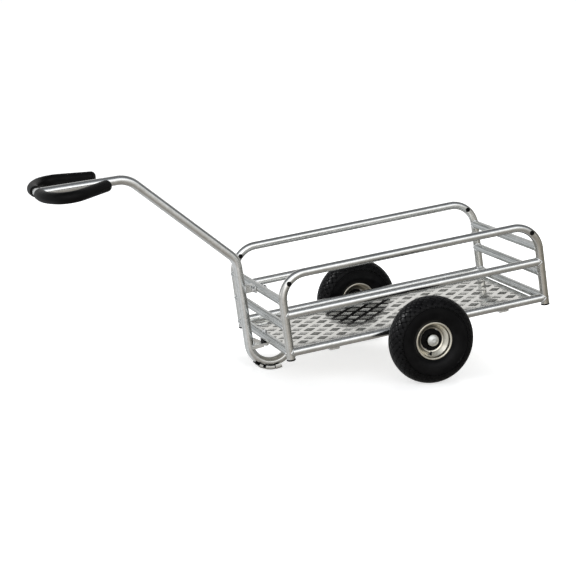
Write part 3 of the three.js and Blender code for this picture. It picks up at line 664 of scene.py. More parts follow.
def moulded_black(base, roughness, grain, bump):
    """Black plastic or rubber: grain as height, and a dusty lift of the colour."""

    def build(n, place, uv):
        skin = n.noise(place, grain, 3.0)
        dust = n.noise(place, 30.0, 5.0, 0.65)
        light = tuple(c + 0.004 for c in base)
        colour = n.mix(n.ramp(dust, (0.42, 0.0), (0.72, 1.0)), base, light)
        rough = n.total((dust, 0.16), plus=roughness - 0.08)
        return deep_black(colour, rough, n.bump(skin, bump, 0.0005))

    return build


def foam_skin(n, place, uv):
    """Closed-cell foam: fine cells under a satin skin."""
    cells = n.add("ShaderNodeTexVoronoi", Vector=place, Scale=1500.0).outputs["Distance"]
    soft = n.noise(place, 45.0, 4.0)
    colour = n.ramp(soft, (0.35, (0.003, 0.003, 0.003)), (0.70, (0.006, 0.006, 0.006)))
    rough = n.total((soft, 0.18), plus=0.36)
    return deep_black(colour, rough, n.bump(cells, 0.22, 0.0004, n.bump(soft, 0.2, 0.001)))


TUBE_METAL = material("galvanised_tube", galvanised(along=True))
HOOP_METAL = material("galvanised_hoop", galvanised(along=True, paint_leg_shade=True), PITCH)
SHEET_METAL = material("galvanised_sheet", galvanised(along=False), PITCH)
BAR_METAL = material("galvanised_bar", brushed_bar)
WELD_METAL = material("weld", weld_metal)
TREAD_METAL = material("tread_plate", tread_metal, PITCH)
RIM_METAL = material("zinc_rim", zinc_rim)
BOLT_METAL = material("bright_steel", bright_steel)
CAP_METAL = material("axle_cap_zinc", satin_zinc)
PLASTIC_SKIN = moulded_black((0.002, 0.002, 0.002), 0.36, 900.0, 0.08)
BLACK_PLASTIC = material("black_plastic", PLASTIC_SKIN)
BLACK_RUBBER = material("black_rubber", moulded_black((0.003, 0.003, 0.003), 0.50, 700.0, 0.15))
TYRE_RUBBER = material("tyre_rubber", moulded_black((0.0025, 0.0025, 0.0029), 0.34, 1300.0, 0.08))
FOAM = material("foam", foam_skin)


# ---------------------------------------------------------------- side frames and cross bars
# A rail or bar ends this far from the axis of the tube that it is coped and welded to.
COPED = TUBE_R * 0.55


def hoop_stations(y):
    moves = [TOP_Z - HOOP_BEND - LEG_END_Z, (-90, HOOP_BEND), 2 * (HALF_LENGTH - HOOP_BEND), (-90, HOOP_BEND),
             TOP_Z - HOOP_BEND - LEG_END_Z]
    return in_space(bender((-HALF_LENGTH, LEG_END_Z), 90, moves), Y * y, X, Z)


def build_side_frames():
    for name, side in SIDES_OF_CART:
        y = side * HALF_WIDTH
        hoop = tube(hoop_stations(y), TUBE_R, TUBE_R - WALL)
        make_piece(f"hoop_tube_{name}", hoop, HOOP_METAL, f"side_hoop_{name}")
        for node, z in (("mid_rail", MID_Z), ("bottom_rail", RAIL_Z)):
            reach = HALF_LENGTH - COPED
            rail = tube(straight((-reach, y, z), (reach, y, z)), TUBE_R, TUBE_R - WALL)
            make_piece(f"{node}_tube_{name}", rail, TUBE_METAL, f"{node}_{name}")
            for end in (-1, 1):
                corner = (end * HALF_LENGTH, y, z)
                weld_tube(corner, (-end, 0, 0), Z, TUBE_R, TUBE_R, seed=int(7 + z + side + 3 * end))


def build_cross_bars():
    for name, end in ENDS_OF_CART:
        for level, z in BAR_Z.items():
            x = end * HALF_LENGTH
            reach = HALF_WIDTH - COPED
            bar = tube(straight((x, -reach, z), (x, reach, z)), TUBE_R, TUBE_R - WALL)
            make_piece(f"{name}_bar_tube_{level}", bar, BAR_METAL, f"{name}_bar_{level}")
            for side in (-1, 1):
                leg = (x, side * HALF_WIDTH, z)
                weld_tube(leg, (0, -side, 0), Z, TUBE_R, TUBE_R, seed=int(31 + z + side + 5 * end))


def build_leg_cap(end_name, end, side_name, side):
    node = f"leg_cap_{end_name}_{side_name}"
    low, high = span(node)
    radius, bottom = (high.y - low.y) / 2, low.z
    rim = LEG_END_Z - 0.2
    outline = [(0, rim + 9), (9.6, rim + 9, 1), (10, rim, 0.3), (radius, rim, 0.5),
               (radius, bottom + 1.6, 1.4), (radius - 2.2, bottom, 0.8), (6, bottom + 0.2, 0.5),
               (5.2, bottom + 1.0, 0.3), (0, bottom + 1.0)]
    leg = Matrix.Translation((end * HALF_LENGTH, side * HALF_WIDTH, 0)) @ Matrix.Rotation(math.pi / 2, 4, "X")
    cap = turned(fillet(outline, closed=False), 48).placed(leg)
    make_piece(f"leg_cap_moulded_{end_name}_{side_name}", cap, BLACK_PLASTIC, node)


def build_corner_plug(end_name, end, side_name, side):
    """The plug stands across the hoop's bend: a head on each side of the tube and a stem between them."""
    node = f"corner_plug_{end_name}_{side_name}"
    low, high = span(node)
    half, head = (high.y - low.y) / 2, (high.z - low.z) / 2
    seat, stem = TUBE_R - 0.7, 4.8
    upper = [(0, half), (head * 0.62, half - 0.1, 1.0), (head, half - 0.8, 0.6), (head, seat, 0.3),
             (stem, seat)]
    corner = HOOP_BEND * (1 - math.sqrt(0.5))
    middle = Matrix.Translation((end * (HALF_LENGTH - corner), side * HALF_WIDTH, TOP_Z - corner))
    plug = turned(fillet(upper + mirrored(upper), closed=False), 40).placed(middle)
    make_piece(f"corner_plug_moulded_{end_name}_{side_name}", plug, BLACK_PLASTIC, node)


def build_caps_and_plugs():
    for end_name, end in ENDS_OF_CART:
        for side_name, side in SIDES_OF_CART:
            build_leg_cap(end_name, end, side_name, side)
            build_corner_plug(end_name, end, side_name, side)


# ---------------------------------------------------------------- floor
TREAD_PITCH = 61.2
TREAD_PHASE = (41.0, 0.0)
TREAD_BARS = 5
TREAD_MARGIN = 2.5  # the plain edge that is left round the pattern
SHORTEST_HALF_BAR = 3.0  # what the plate's edge cuts shorter than this is left out
TREAD_BAR = {"half_length": 14.0, "half_width": 2.65, "height": 1.25, "pitch": 5.6}


def tread_bar(centre, along, half_length, top):
    """One raised bar of the pattern: a low barrel with rounded ends that stands on the plate."""
    across = Vector((-along.y, along.x, 0))
    rings = []
    points = 16
    # The section is the arc of a circle: sine of the slope at the foot and at each ring above it.
    foot_slope = 2 * math.atan2(TREAD_BAR["height"], TREAD_BAR["half_width"])
    for share in (1.0, 0.78, 0.56, 0.34, 0.12):
        slope = foot_slope * share
        scale = math.sin(slope) / math.sin(foot_slope)
        height = (math.cos(slope) - math.cos(foot_slope)) / (1 - math.cos(foot_slope)) * TREAD_BAR["height"]
        ring = []
        for j in range(points):
            angle = 2 * math.pi * (j + 0.5) / points
            c, s = math.cos(angle), math.sin(angle)
            length = half_length - TREAD_BAR["half_width"] * 1.3 * (1 - scale)
            u = math.copysign(abs(c) ** 0.55, c) * length
            v = math.copysign(abs(s) ** 0.55, s) * TREAD_BAR["half_width"] * scale
            ring.append(centre + along * u + across * v + Z * (top + height))
        rings.append(ring)
    foot = [p - Z * 0.3 for p in rings[0]]
    return Shape().rings([foot] + rings)


def clipped(centre, along, half, low, high):
    """The part of a bar's centre line that lies on the plate, as (centre, half length)."""
    start, end = -half, half
    for axis in range(2):
        rate = along[axis]
        if abs(rate) < 1e-9:
            continue
        a, b = sorted(((low[axis] - centre[axis]) / rate, (high[axis] - centre[axis]) / rate))
        start, end = max(start, a), min(end, b)
    return centre + along * ((start + end) / 2), (end - start) / 2


def tread_bars():
    """Every group of parallel bars, in two directions that take turns over the plate, bar by bar."""
    diagonal = math.sqrt(0.5)
    directions = ((0.0, Vector((diagonal, -diagonal, 0))), (0.5, Vector((diagonal, diagonal, 0))))
    size = plate_high - plate_low
    cells_x, cells_y = int(size.x / TREAD_PITCH) + 3, int(size.y / TREAD_PITCH) + 3
    for i in range(-cells_x, cells_x):
        for j in range(-cells_y, cells_y):
            for shift, along in directions:
                across = Vector((-along.y, along.x, 0))
                x = TREAD_PHASE[0] + (i + shift) * TREAD_PITCH
                y = TREAD_PHASE[1] + (j + shift) * TREAD_PITCH
                for k in range(TREAD_BARS):
                    offset = (k - (TREAD_BARS - 1) / 2) * TREAD_BAR["pitch"]
                    yield Vector((x, y, 0)) + across * offset, along


def build_floor():
    slab = plate(plate_low, plate_high, "z", corner=4, chamfer=0.35)
    margin = Vector((TREAD_MARGIN, TREAD_MARGIN, 0))
    low, high = plate_low + margin, plate_high - margin
    for middle, along in tread_bars():
        centre, half = clipped(middle, along, TREAD_BAR["half_length"], low, high)
        inside = all(low[axis] + 1 < centre[axis] < high[axis] - 1 for axis in range(2))
        if half > SHORTEST_HALF_BAR and inside:
            slab.merge(tread_bar(centre, along, half, plate_high.z))
    make_piece("floor_tread_plate", slab, TREAD_METAL, "floor_plate")


def build_bearers():
    for name, _ in ENDS_OF_CART:
        low, high = span(f"floor_bearer_{name}")
        bearer = plate(low, high, "z", corner=1.5, chamfer=0.8)
        make_piece(f"floor_bearer_bar_{name}", bearer, SHEET_METAL, f"floor_bearer_{name}")
        for side in (-1, 1):
            for x, outward in ((low.x, -1), (high.x, 1)):
                start = (x, side * (HALF_WIDTH - COPED), high.z - 1.2)
                end = (x, side * (HALF_WIDTH + 1), high.z - 0.6)
                weld_line(start, end, (outward, 0, 0.4), 2.0, seed=int(x))


# ---------------------------------------------------------------- axle
AXLE_R = 10.0
COLLAR_INSET = 39.0  # from the wheel's middle to the collar's outer face
COLLAR_LENGTH = 6.0
CHANNEL_WALL = 3.0
AXLE_BOLT = {"radius": 3.0, "flats": 10.0, "head": 4.0}
AXLE_NUT = {"bore": 3.05, "flats": 10.0, "height": 4.6}


def build_channel():
    low, high = span("axle_channel")
    half, web = high.x, high.z - CHANNEL_WALL
    inner = half - CHANNEL_WALL
    left = [(-half, high.z, 3.2), (-half, low.z, 0.8), (-inner, low.z, 0.8), (-inner, web, 1.2)]
    right = [(-x, z, rounding) for x, z, rounding in reversed(left)]
    channel = extruded(fillet(left + right), Y * low.y, X, Z, Y * (high.y - low.y), 0.4)
    make_piece("axle_channel_folded", channel, SHEET_METAL, "axle_channel")
    for side in (-1, 1):
        for outward in (-1, 1):
            x, z = outward * half, high.z - 0.6
            start, end = (x, side * (HALF_WIDTH - 10), z), (x, side * (HALF_WIDTH + 1.5), z)
            weld_line(start, end, (outward, 0, 0.5), 2.4, seed=int(50 + x + side))


def build_axle_bar():
    low, high = span("axle")
    collar_out = HUBS["wheel_far"].y / MM - COLLAR_INSET
    collar, collar_in = (high.z - low.z) / 2, collar_out - COLLAR_LENGTH
    half_axle = [(0, high.y), (AXLE_R - 1.2, high.y, 0.3), (AXLE_R, high.y - 1.2, 0.3), (AXLE_R, collar_out),
                 (collar, collar_out, 0.8), (collar, collar_in, 0.8), (AXLE_R, collar_in)]
    axle = turned(fillet(half_axle + mirrored(half_axle), closed=False), 64)
    make_piece("axle_bar", axle, BOLT_METAL, "axle")


def build_axle_bolt(name):
    low, high = span(f"axle_bolt_{name}")
    half = span("axle_channel")[1].x
    y, z = (low.y + high.y) / 2, (low.z + high.z) / 2
    bolt = hex_bolt(length=high.x + half, **AXLE_BOLT).placed(pointing((-1, 0, 0), (-half - 0.2, y, z)))
    bolt.merge(hex_nut(**AXLE_NUT), pointing((1, 0, 0), (half + 0.2, y, z)))
    make_piece(f"axle_bolt_and_nut_{name}", bolt, BOLT_METAL, f"axle_bolt_{name}")


def build_axle_cap(name, side):
    """A pressed dome with a dimple in its middle, as (radius, height from the wheel's middle)."""
    hub = abs(HUBS["wheel_far"].y / MM)
    low, high = span(f"axle_cap_{name}")
    top = max(abs(low.y), abs(high.y)) - hub
    base = min(abs(low.y), abs(high.y)) - hub
    radius = (high.z - low.z) / 2
    outline = [(0, top - 2.0), (1.6, top - 1.9, 0.6), (2.9, top - 0.15, 0.8), (6, top - 0.1, 2),
               (radius - 4.5, top - 2.2, 3.0), (radius - 0.4, base + 2.6, 1.6), (radius, base, 0.3),
               (radius - 1.3, base, 0.3), (radius - 1.6, base + 1.8, 0.4), (radius - 5.4, top - 3.6, 2),
               (0, top - 3.8)]
    turn = Matrix.Translation((0, side * hub, 0)) @ Matrix.Rotation(math.pi if side < 0 else 0, 4, "X")
    cap = turned(fillet(outline, closed=False), 80).placed(turn)
    make_piece(f"axle_cap_pressed_{name}", cap, CAP_METAL, f"axle_cap_{name}")


def build_axle():
    build_channel()
    build_axle_bar()
    for name, side in SIDES_OF_CART:
        build_axle_bolt(name)
        build_axle_cap(name, side)


# ---------------------------------------------------------------- drawbar, handle and foot
# Millimetres and degrees, in the chassis's own axes. HANDLE is the middle of the horseshoe's apex.
HANDLE = Vector((-1011.7, 0, 585))
HANDLE_SLOPE, DIAGONAL_SLOPE = -1.7, -46.2
FIRST_BEND, SECOND_BEND = 75.0, 60.0
FOOT_BEND = 67.0
FOOT_CENTRE = Vector((-391.5, 0, 14))
FOOT_TURN, TAIL_BEND, TAIL_LENGTH = 54.3, 50.0, 50.0
GRIP_RUN = 265.5
BOW = {"half_straight": 59.0, "wide": (33.0, 176.0), "tight": (95.0, 46.6), "leg": 112.0}
LOOP_R = 12.5
UPRIGHT_X = FOOT_CENTRE.x - FOOT_BEND


def drawbar_stations():
    slope, steep = math.radians(HANDLE_SLOPE), math.radians(DIAGONAL_SLOPE)
    corner = Vector((HANDLE.x + GRIP_RUN * math.cos(slope), HANDLE.z + GRIP_RUN * math.sin(slope)))
    diagonal = (UPRIGHT_X - corner.x) / math.cos(steep)
    upright_top = corner.y + (UPRIGHT_X - corner.x) * math.tan(steep)
    first, second = DIAGONAL_SLOPE - HANDLE_SLOPE, -90 - DIAGONAL_SLOPE
    first_run = FIRST_BEND * math.tan(math.radians(-first / 2))
    second_run = SECOND_BEND * math.tan(math.radians(-second / 2))
    start = LOOP_R * 0.6
    moves = [GRIP_RUN - start - first_run, (first, FIRST_BEND), diagonal - first_run - second_run,
             (second, SECOND_BEND), upright_top - second_run - FOOT_CENTRE.z, (90 + FOOT_TURN, FOOT_BEND),
             (-FOOT_TURN, TAIL_BEND), TAIL_LENGTH]
    begin = (HANDLE.x + start * math.cos(slope), HANDLE.z + start * math.sin(slope))
    return in_space(bender(begin, HANDLE_SLOPE, moves), Vector(), X, Z)


def half_bow(side, start, leg):
    """Half of the handle's bow, from a place on its straight apex to its end."""
    wide, tight = BOW["wide"], BOW["tight"]
    moves = [BOW["half_straight"] - start, (-wide[0], wide[1]), (-tight[0], tight[1]), leg]
    return in_space(bender((0, start), 90, moves), HANDLE, X, Y * side)


def build_handle():
    near_half = half_bow(-1, 0, BOW["leg"])
    far_half = half_bow(1, 0, BOW["leg"])
    whole = [(p, -t) for p, t in reversed(near_half[1:])] + far_half[1:]
    loop = tube(whole, LOOP_R, LOOP_R - WALL)
    make_piece("handle_loop_tube", loop, TUBE_METAL, "handle_loop")

    for name, side in SIDES_OF_CART:
        low, high = span(f"grip_{name}")
        radius = (high.z - low.z) / 2
        start = min(abs(low.y), abs(high.y))
        stations = half_bow(side, start, BOW["leg"] + 6)
        lengths = [0.0]
        for (a, _), (b, _) in zip(stations, stations[1:]):
            lengths.append(lengths[-1] + (b - a).length)
        total = lengths[-1]

        def at(s):
            i = next(i for i in range(len(stations) - 1) if s <= lengths[i + 1] or i == len(stations) - 2)
            t = (s - lengths[i]) / (lengths[i + 1] - lengths[i])
            (point, tangent), (next_point, next_tangent) = stations[i:i + 2]
            return point.lerp(next_point, t), tangent.lerp(next_tangent, t).normalized()

        lip, dome, end_r = 5.0, 11.0, 6.0
        lip_r = LOOP_R + 0.8
        profile = [(0.0, LOOP_R - 0.2)]
        for k in range(7):
            angle = math.pi / 2 * k / 6
            profile.append((lip * (1 - math.cos(angle)), lip_r + (radius - lip_r) * math.sin(angle)))
        profile += [(lip + (total - lip - dome) * k / 40, radius) for k in range(1, 41)]
        for k in range(1, 9):
            angle = math.pi / 2 * k / 8
            at_end = total - dome + dome * math.sin(angle)
            profile.append((at_end, end_r + (radius - end_r) * math.cos(angle)))
        rings = []
        for s, r in profile:
            centre, tangent = at(s)
            rings.append(circle(centre, Z, tangent.cross(Z), r, 40))
        grip = Shape().rings(rings)
        make_piece(f"foam_grip_{name}", grip, FOAM, f"grip_{name}", sharp=50)


def build_drawbar():
    drawbar = tube(drawbar_stations(), DRAWBAR_R, DRAWBAR_R - WALL, sides=52)
    make_piece("drawbar_tube", drawbar, TUBE_METAL, "drawbar")
    slope = math.radians(HANDLE_SLOPE)
    forward = Vector((math.cos(slope), 0, math.sin(slope)))
    weld_tube(HANDLE, forward, Y, LOOP_R, LOOP_R, seed=3)


# Angles are from the foot's lowest point, towards the rear. Heights are over the drawbar's surface.
SHOE_SPAN, RUBBER_SPAN = (-29, 22), (-37, 20)
SHOE_TABS = ((-29, -21, 10), (-14, 6, 11), (8, 22, 13))  # from, to, height
RUBBER_INSIDE, RUBBER_OUTSIDE = -0.8, 3.5  # a little of the rubber is pressed into the drawbar's surface
SHOE_INSIDE, SHOE_OUTSIDE = 3.7, 6.3
TAB_THICKNESS = 2.6
FOOT_SCREW_ANGLE = 11.0


def foot_point(angle, radius):
    turn = math.radians(270 + angle) - PITCH
    return FOOT_CENTRE + Vector((math.cos(turn), 0, math.sin(turn))) * radius


def curved_strip(inner, outer, start, end, near, far, chamfer=0.5, steps=24):
    """A strip bent round the foot: a rounded section carried along an arc of the foot's circle."""
    section = fillet([(inner, near, chamfer), (outer, near, chamfer), (outer, far, chamfer),
                      (inner, far, chamfer)], steps=2)
    rings = []
    for k in range(steps + 1):
        angle = start + (end - start) * k / steps
        rings.append([foot_point(angle, p.x) + Y * p.y for p in section])
    return Shape().rings(rings)


def build_foot():
    surface = FOOT_BEND + DRAWBAR_R
    half_width, outside = span("foot_shoe")[1].y, surface + SHOE_OUTSIDE
    shoe = curved_strip(surface + SHOE_INSIDE, outside, *SHOE_SPAN, -half_width, half_width)
    for side in (-1, 1):
        near, far = sorted((side * half_width, side * (half_width - TAB_THICKNESS)))
        for start, end, height in SHOE_TABS:
            shoe.merge(curved_strip(outside - height, outside - 0.4, start, end, near, far))
    make_piece("foot_shoe_plate", shoe, SHEET_METAL, "foot_shoe")
    low, high = span("foot_rubber")
    rubber = curved_strip(surface + RUBBER_INSIDE, surface + RUBBER_OUTSIDE, *RUBBER_SPAN, low.y, high.y)
    make_piece("foot_rubber_strip", rubber, BLACK_RUBBER, "foot_rubber")
    face = DRAWBAR_R + SHOE_OUTSIDE
    levels = [(DRAWBAR_R - 10, 2.4), (face - 2.2, 2.4), (face - 0.5, 4.4), (face - 0.2, 4.5)]
    levels += [(face - 0.05, 4.2), (face - 0.05, 1.6), (face - 1.2, 1.4)]
    for name, side in ENDS_OF_CART:
        angle = side * FOOT_SCREW_ANGLE
        outward = foot_point(angle, 2) - foot_point(angle, 1)
        screw = polar(levels, 36).placed(pointing(outward, foot_point(angle, FOOT_BEND)))
        make_piece(f"foot_screw_countersunk_{name}", screw, BOLT_METAL, f"foot_screw_{name}")


# ---------------------------------------------------------------- brackets between the drawbar and the frame
M8_BOLT = {"radius": 4.0, "flats": 13.0, "head": 5.3}
M8_NUT = {"bore": 4.1, "flats": 13.0, "height": 6.5}
M8_WASHER = {"bore": 4.2, "radius": 8.0, "thickness": 1.6}
FLANGE, SHELF, CHEEK = 4.0, 5.0, 2.6  # plate thicknesses
UPPER_WEB, LOWER_WEB = 7.0, 4.0  # half thicknesses
CHEEK_REACH, CHEEK_END_DEPTH = 42.0, 6.0
FLANGE_HALF_HEIGHT = 12.0


def build_upper_bracket():
    low, high = span("drawbar_bracket_upper")
    z = BAR_Z["top"]
    back = -HALF_LENGTH - TUBE_R - 0.3
    front = back - FLANGE
    flange_low, flange_high = z - FLANGE_HALF_HEIGHT, z + FLANGE_HALF_HEIGHT
    bracket = plate((front, low.y, flange_low), (back, high.y, flange_high), "x", corner=6, chamfer=0.6)
    web_front = UPRIGHT_X + DRAWBAR_R * 0.6
    outline = [(web_front, z - 10, 1), (front + 1, z - 10, 1), (front + 1, z + 12, 1), (web_front, z + 16, 1)]
    bracket.merge(extruded(fillet(outline), Y * -UPPER_WEB, X, Z, Y * 2 * UPPER_WEB, 0.6))
    make_piece("upper_bracket_flange", bracket, SHEET_METAL, "drawbar_bracket_upper")
    face = UPRIGHT_X + math.sqrt(DRAWBAR_R ** 2 - UPPER_WEB ** 2)
    for side in (-1, 1):
        y = side * (UPPER_WEB + 0.2)
        weld_line((face, y, z - 10), (face, y, z + 15), (0.5, side, 0), 2.2, seed=60 + side)
        y = side * (UPPER_WEB + 0.4)
        weld_line((front, y, z - 10), (front, y, z + 11), (-0.6, side, 0), 1.9, seed=64 + side)
    for name, _ in SIDES_OF_CART:
        low, high = span(f"upper_bolt_{name}")
        y, seat = (low.y + high.y) / 2, front - 1.8
        bolt = hex_bolt(length=high.x - seat, **M8_BOLT).placed(pointing((-1, 0, 0), (seat, y, z)))
        bolt.merge(washer(**M8_WASHER), pointing((-1, 0, 0), (front - 0.1, y, z)))
        make_piece(f"upper_bolt_hex_{name}", bolt, BOLT_METAL, f"upper_bolt_{name}")
        nut = hex_nut(**M8_NUT).placed(pointing((1, 0, 0), (-HALF_LENGTH + TUBE_R + 0.3, y, z)))
        make_piece(f"upper_nut_hex_{name}", nut, BOLT_METAL, f"upper_nut_{name}")


def build_lower_bracket():
    """A shelf under the bottom bar with a web up the drawbar and a cheek on each side."""
    low, high = span("drawbar_bracket_lower")
    cheek_bottom, web_top = low.z, high.z
    shelf_top = span("lower_saddle")[0].z - 0.3
    shelf_bottom = shelf_top - SHELF
    shelf_low, shelf_high = (UPRIGHT_X + 6, low.y, shelf_bottom), (high.x, high.y, shelf_top)
    bracket = plate(shelf_low, shelf_high, "z", corner=5, chamfer=0.5)
    front, back = UPRIGHT_X + 8, -HALF_LENGTH - TUBE_R - 5
    web = [(front, shelf_top - 1, 1), (back, shelf_top - 1, 1), (back, web_top - 14, 3),
           (UPRIGHT_X + DRAWBAR_R, web_top, 2), (front, web_top, 1)]
    bracket.merge(extruded(fillet(web), Y * -LOWER_WEB, X, Z, Y * 2 * LOWER_WEB, 0.6))
    front, back = UPRIGHT_X + 4, UPRIGHT_X + CHEEK_REACH
    cheek = [(front, shelf_bottom + 1), (front, cheek_bottom, 3), (back, shelf_bottom - CHEEK_END_DEPTH, 4),
             (back, shelf_bottom + 1)]
    for near in (low.y, high.y - CHEEK):
        bracket.merge(extruded(fillet(cheek), Y * near, X, Z, Y * CHEEK, 0.4))
    make_piece("lower_bracket_shelf", bracket, SHEET_METAL, "drawbar_bracket_lower")
    face = UPRIGHT_X + math.sqrt(DRAWBAR_R ** 2 - LOWER_WEB ** 2) + 0.5
    for side in (-1, 1):
        y = side * (LOWER_WEB + 0.5)
        weld_line((face, y, shelf_top), (face, y, web_top - 2), (0.4, side, 0), 2.2, seed=70 + side)
    face = UPRIGHT_X + DRAWBAR_R
    weld_line((face, -13, shelf_top), (face + 0.5, 13, shelf_top), (-0.3, 0, 1), 2.0, seed=75)

    low, high = span("lower_saddle")
    cradle = [(low.x, low.z, 1.5), (high.x, low.z, 1.5), (high.x, high.z, 1.0)]
    reach = TUBE_R + 0.2
    for degrees in range(-38, -143, -9):
        angle = math.radians(degrees)
        cradle.append((-HALF_LENGTH + reach * math.cos(angle), RAIL_Z + reach * math.sin(angle)))
    cradle.append((low.x, high.z, 1.0))
    saddle = extruded(fillet(cradle), Y * low.y, X, Z, Y * (high.y - low.y), 0.8)
    make_piece("lower_saddle_rubber", saddle, BLACK_RUBBER, "lower_saddle")

    bar_top, tip = RAIL_Z + TUBE_R, span("lower_bolt")[0].z
    over_bar = Matrix.Translation((-HALF_LENGTH, 0, 0))
    seat = bar_top + 1.6
    bolt = hex_bolt(length=seat - tip, **M8_BOLT).placed(over_bar @ Matrix.Translation(Z * seat))
    bolt.merge(washer(z=bar_top - 0.1, **M8_WASHER), over_bar)
    make_piece("lower_bolt_hex", bolt, BOLT_METAL, "lower_bolt")
    nut_z = shelf_bottom - 0.2 - M8_NUT["height"]
    nut = hex_nut(**M8_NUT).placed(over_bar @ Matrix.Translation(Z * nut_z))
    make_piece("lower_nut_hex", nut, BOLT_METAL, "lower_nut")


def build_tail_strap():
    """A strap that hangs from the front bearer and runs round the drawbar's tail."""
    low, high = span("tail_strap")
    tail_z = FOOT_CENTRE.z - (FOOT_BEND + TAIL_BEND) * math.cos(math.radians(FOOT_TURN)) + TAIL_BEND
    inner, outer = DRAWBAR_R + 0.3, DRAWBAR_R + 3.3
    top, under = high.z, high.z - 3
    turns = [math.pi * k / 18 for k in range(1, 18)]
    outline = [(high.y, top, 2), (high.y, under, 1), (outer, under, 3), (outer, tail_z)]
    outline += [(outer * math.cos(a), tail_z - outer * math.sin(a)) for a in turns]
    outline += [(-outer, tail_z), (-outer, under, 3), (low.y, under, 1), (low.y, top, 2), (-inner, top)]
    outline.append((-inner, tail_z))
    outline += [(-inner * math.cos(a), tail_z - inner * math.sin(a)) for a in turns]
    outline += [(inner, tail_z), (inner, top)]
    strap = extruded(fillet(outline), X * low.x, Y, Z, X * (high.x - low.x), 0.3)
    make_piece("tail_strap_folded", strap, SHEET_METAL, "tail_strap")


# ---------------------------------------------------------------- wheels
TREAD_BLOCKS = 36
BLOCK_ROW = 9.6
BLOCK_HEIGHT = 3.0
# A block's (size, height) from its root below the surface to its top.
BLOCK_LEVELS = (
    (1.0, -0.8), (0.97, 0.4), (0.84, BLOCK_HEIGHT - 0.5), (0.76, BLOCK_HEIGHT), (0.4, BLOCK_HEIGHT),
)


def smooth_curve(points, steps=6):
    """A Catmull-Rom curve through flat points."""
    points = [Vector(p) for p in points]
    padded = [2 * points[0] - points[1]] + points + [2 * points[-1] - points[-2]]
    curve = []
    for i in range(1, len(padded) - 2):
        a, b, c, d = padded[i - 1:i + 3]
        for k in range(steps):
            t = k / steps
            square, cube = 2 * a - 5 * b + 4 * c - d, 3 * b - a - 3 * c + d
            curve.append(0.5 * (2 * b + (c - a) * t + square * t ** 2 + cube * t ** 3))
    return curve + [points[-1]]


class Profile:
    """A flat curve that is read by the distance along it."""

    def __init__(self, points):
        self.points = points
        self.at = [0.0]
        for a, b in zip(points, points[1:]):
            self.at.append(self.at[-1] + (b - a).length)

    def read(self, s):
        """The point and the normal at a distance along the curve."""
        s = min(max(s, 0.0), self.at[-1])
        i = next(i for i in range(len(self.points) - 1) if s <= self.at[i + 1] + 1e-9)
        a, b = self.points[i], self.points[i + 1]
        direction = (b - a).normalized()
        share = (s - self.at[i]) / (self.at[i + 1] - self.at[i])
        return a.lerp(b, share), Vector((direction.y, -direction.x))


def tyre_body(shoulder):
    """The tyre without its blocks. Its curves run from the bead seat to the crown, as (radius, y)."""
    wall = [(53, 19.5), (54.5, 24.2), (58.5, 27.5), (64, 32.3), (73, 36.4), (84, 38.2), (94, 37.9)]
    ridge = [Vector(p) for p in ((97.0, 37.6), (97.6, 38.5), (99.4, 38.4), (100.2, 36.4))]
    outside = smooth_curve(wall, 5) + ridge + shoulder[1:]
    lining = [(53, 17), (58, 22), (66, 28.6), (80, 33), (94, 32.6), (108, 27), (118, 14), (121, 0)]
    inside = smooth_curve(lining, 3)
    back = mirrored(inside[::-1]) + inside[-2::-1]
    return turned(outside + mirrored(outside[:-1]) + back, 144, closed=True)


def tyre_shape():
    crown = TYRE_R - BLOCK_HEIGHT
    curve = [(100.2, 36.4), (108, 33.6), (115, 28.6), (121, 21.4), (125.2, 11.5), (crown, 0)]
    shoulder = smooth_curve(curve, 5)
    tyre = tyre_body(shoulder)
    tread = Profile(shoulder + [Vector(p) for p in mirrored(shoulder[:-1])])
    middle = tread.at[-1] / 2
    pitch = 2 * math.pi / TREAD_BLOCKS

    def surface(turn, s, height):
        point, normal = tread.read(s)
        point = point + (normal if normal.x >= 0 else -normal) * height
        return Vector((point.x * math.sin(turn), point.y, point.x * math.cos(turn)))

    def block(turn, s, half_turn, half_s):
        """A raised diamond with softened corners, as rings from its root to its top."""
        rings = []
        for scale, height in BLOCK_LEVELS:
            ring = []
            for j in range(16):
                angle = 2 * math.pi * j / 16
                c, w = math.cos(angle), math.sin(angle)
                size = scale / (abs(c) ** 1.25 + abs(w) ** 1.25) ** 0.8
                ring.append(surface(turn + half_turn * size * c, s + half_s * size * w, height))
            rings.append(ring)
        return Shape().rings(rings)

    rows = int((middle - 6) / BLOCK_ROW)
    for row in range(-rows, rows + 1):
        for i in range(TREAD_BLOCKS):
            turn = (i + 0.5 * (row % 2)) * pitch
            tyre.merge(block(turn, middle + row * BLOCK_ROW, pitch * 0.50, BLOCK_ROW * 1.02))
    edge = middle - rows * BLOCK_ROW
    for side in (-1, 1):
        for i in range(TREAD_BLOCKS):
            turn = (i + 0.5 * ((rows + 1) % 2)) * pitch
            tyre.merge(block(turn, middle + side * (middle - edge * 0.42), pitch * 0.40, edge * 0.52))
    return tyre


def rim_shape():
    """The pressed section, as (radius, y, fillet): its open side from lip to hub, and its tyre side."""
    open_side = [(54.8, 22.8, 0.4), (56.2, 24.4, 1.2), (56.5, 26.8, 1.4), (55.0, 28.4, 1.6),
                 (52.4, 28.4, 1.6), (50.2, 26.4, 1.8), (49.0, 22.0, 3.0), (47.5, 11.4, 2.0),
                 (45.4, 9.0, 2.4), (39.5, 7.2, 6.0), (34.4, 5.2, 1.2), (32.7, 4.2, 0.4)]
    tyre_side = [(50.4, 21.5, 1.4), (49.0, 10.0, 2.0), (46.4, 7.0, 2.4), (37.0, 4.2, 2.0), (33.6, 3.6, 0.4)]
    section = open_side + mirrored(open_side) + mirrored(tyre_side) + tyre_side
    return turned(fillet(section, steps=4), 144, closed=True)


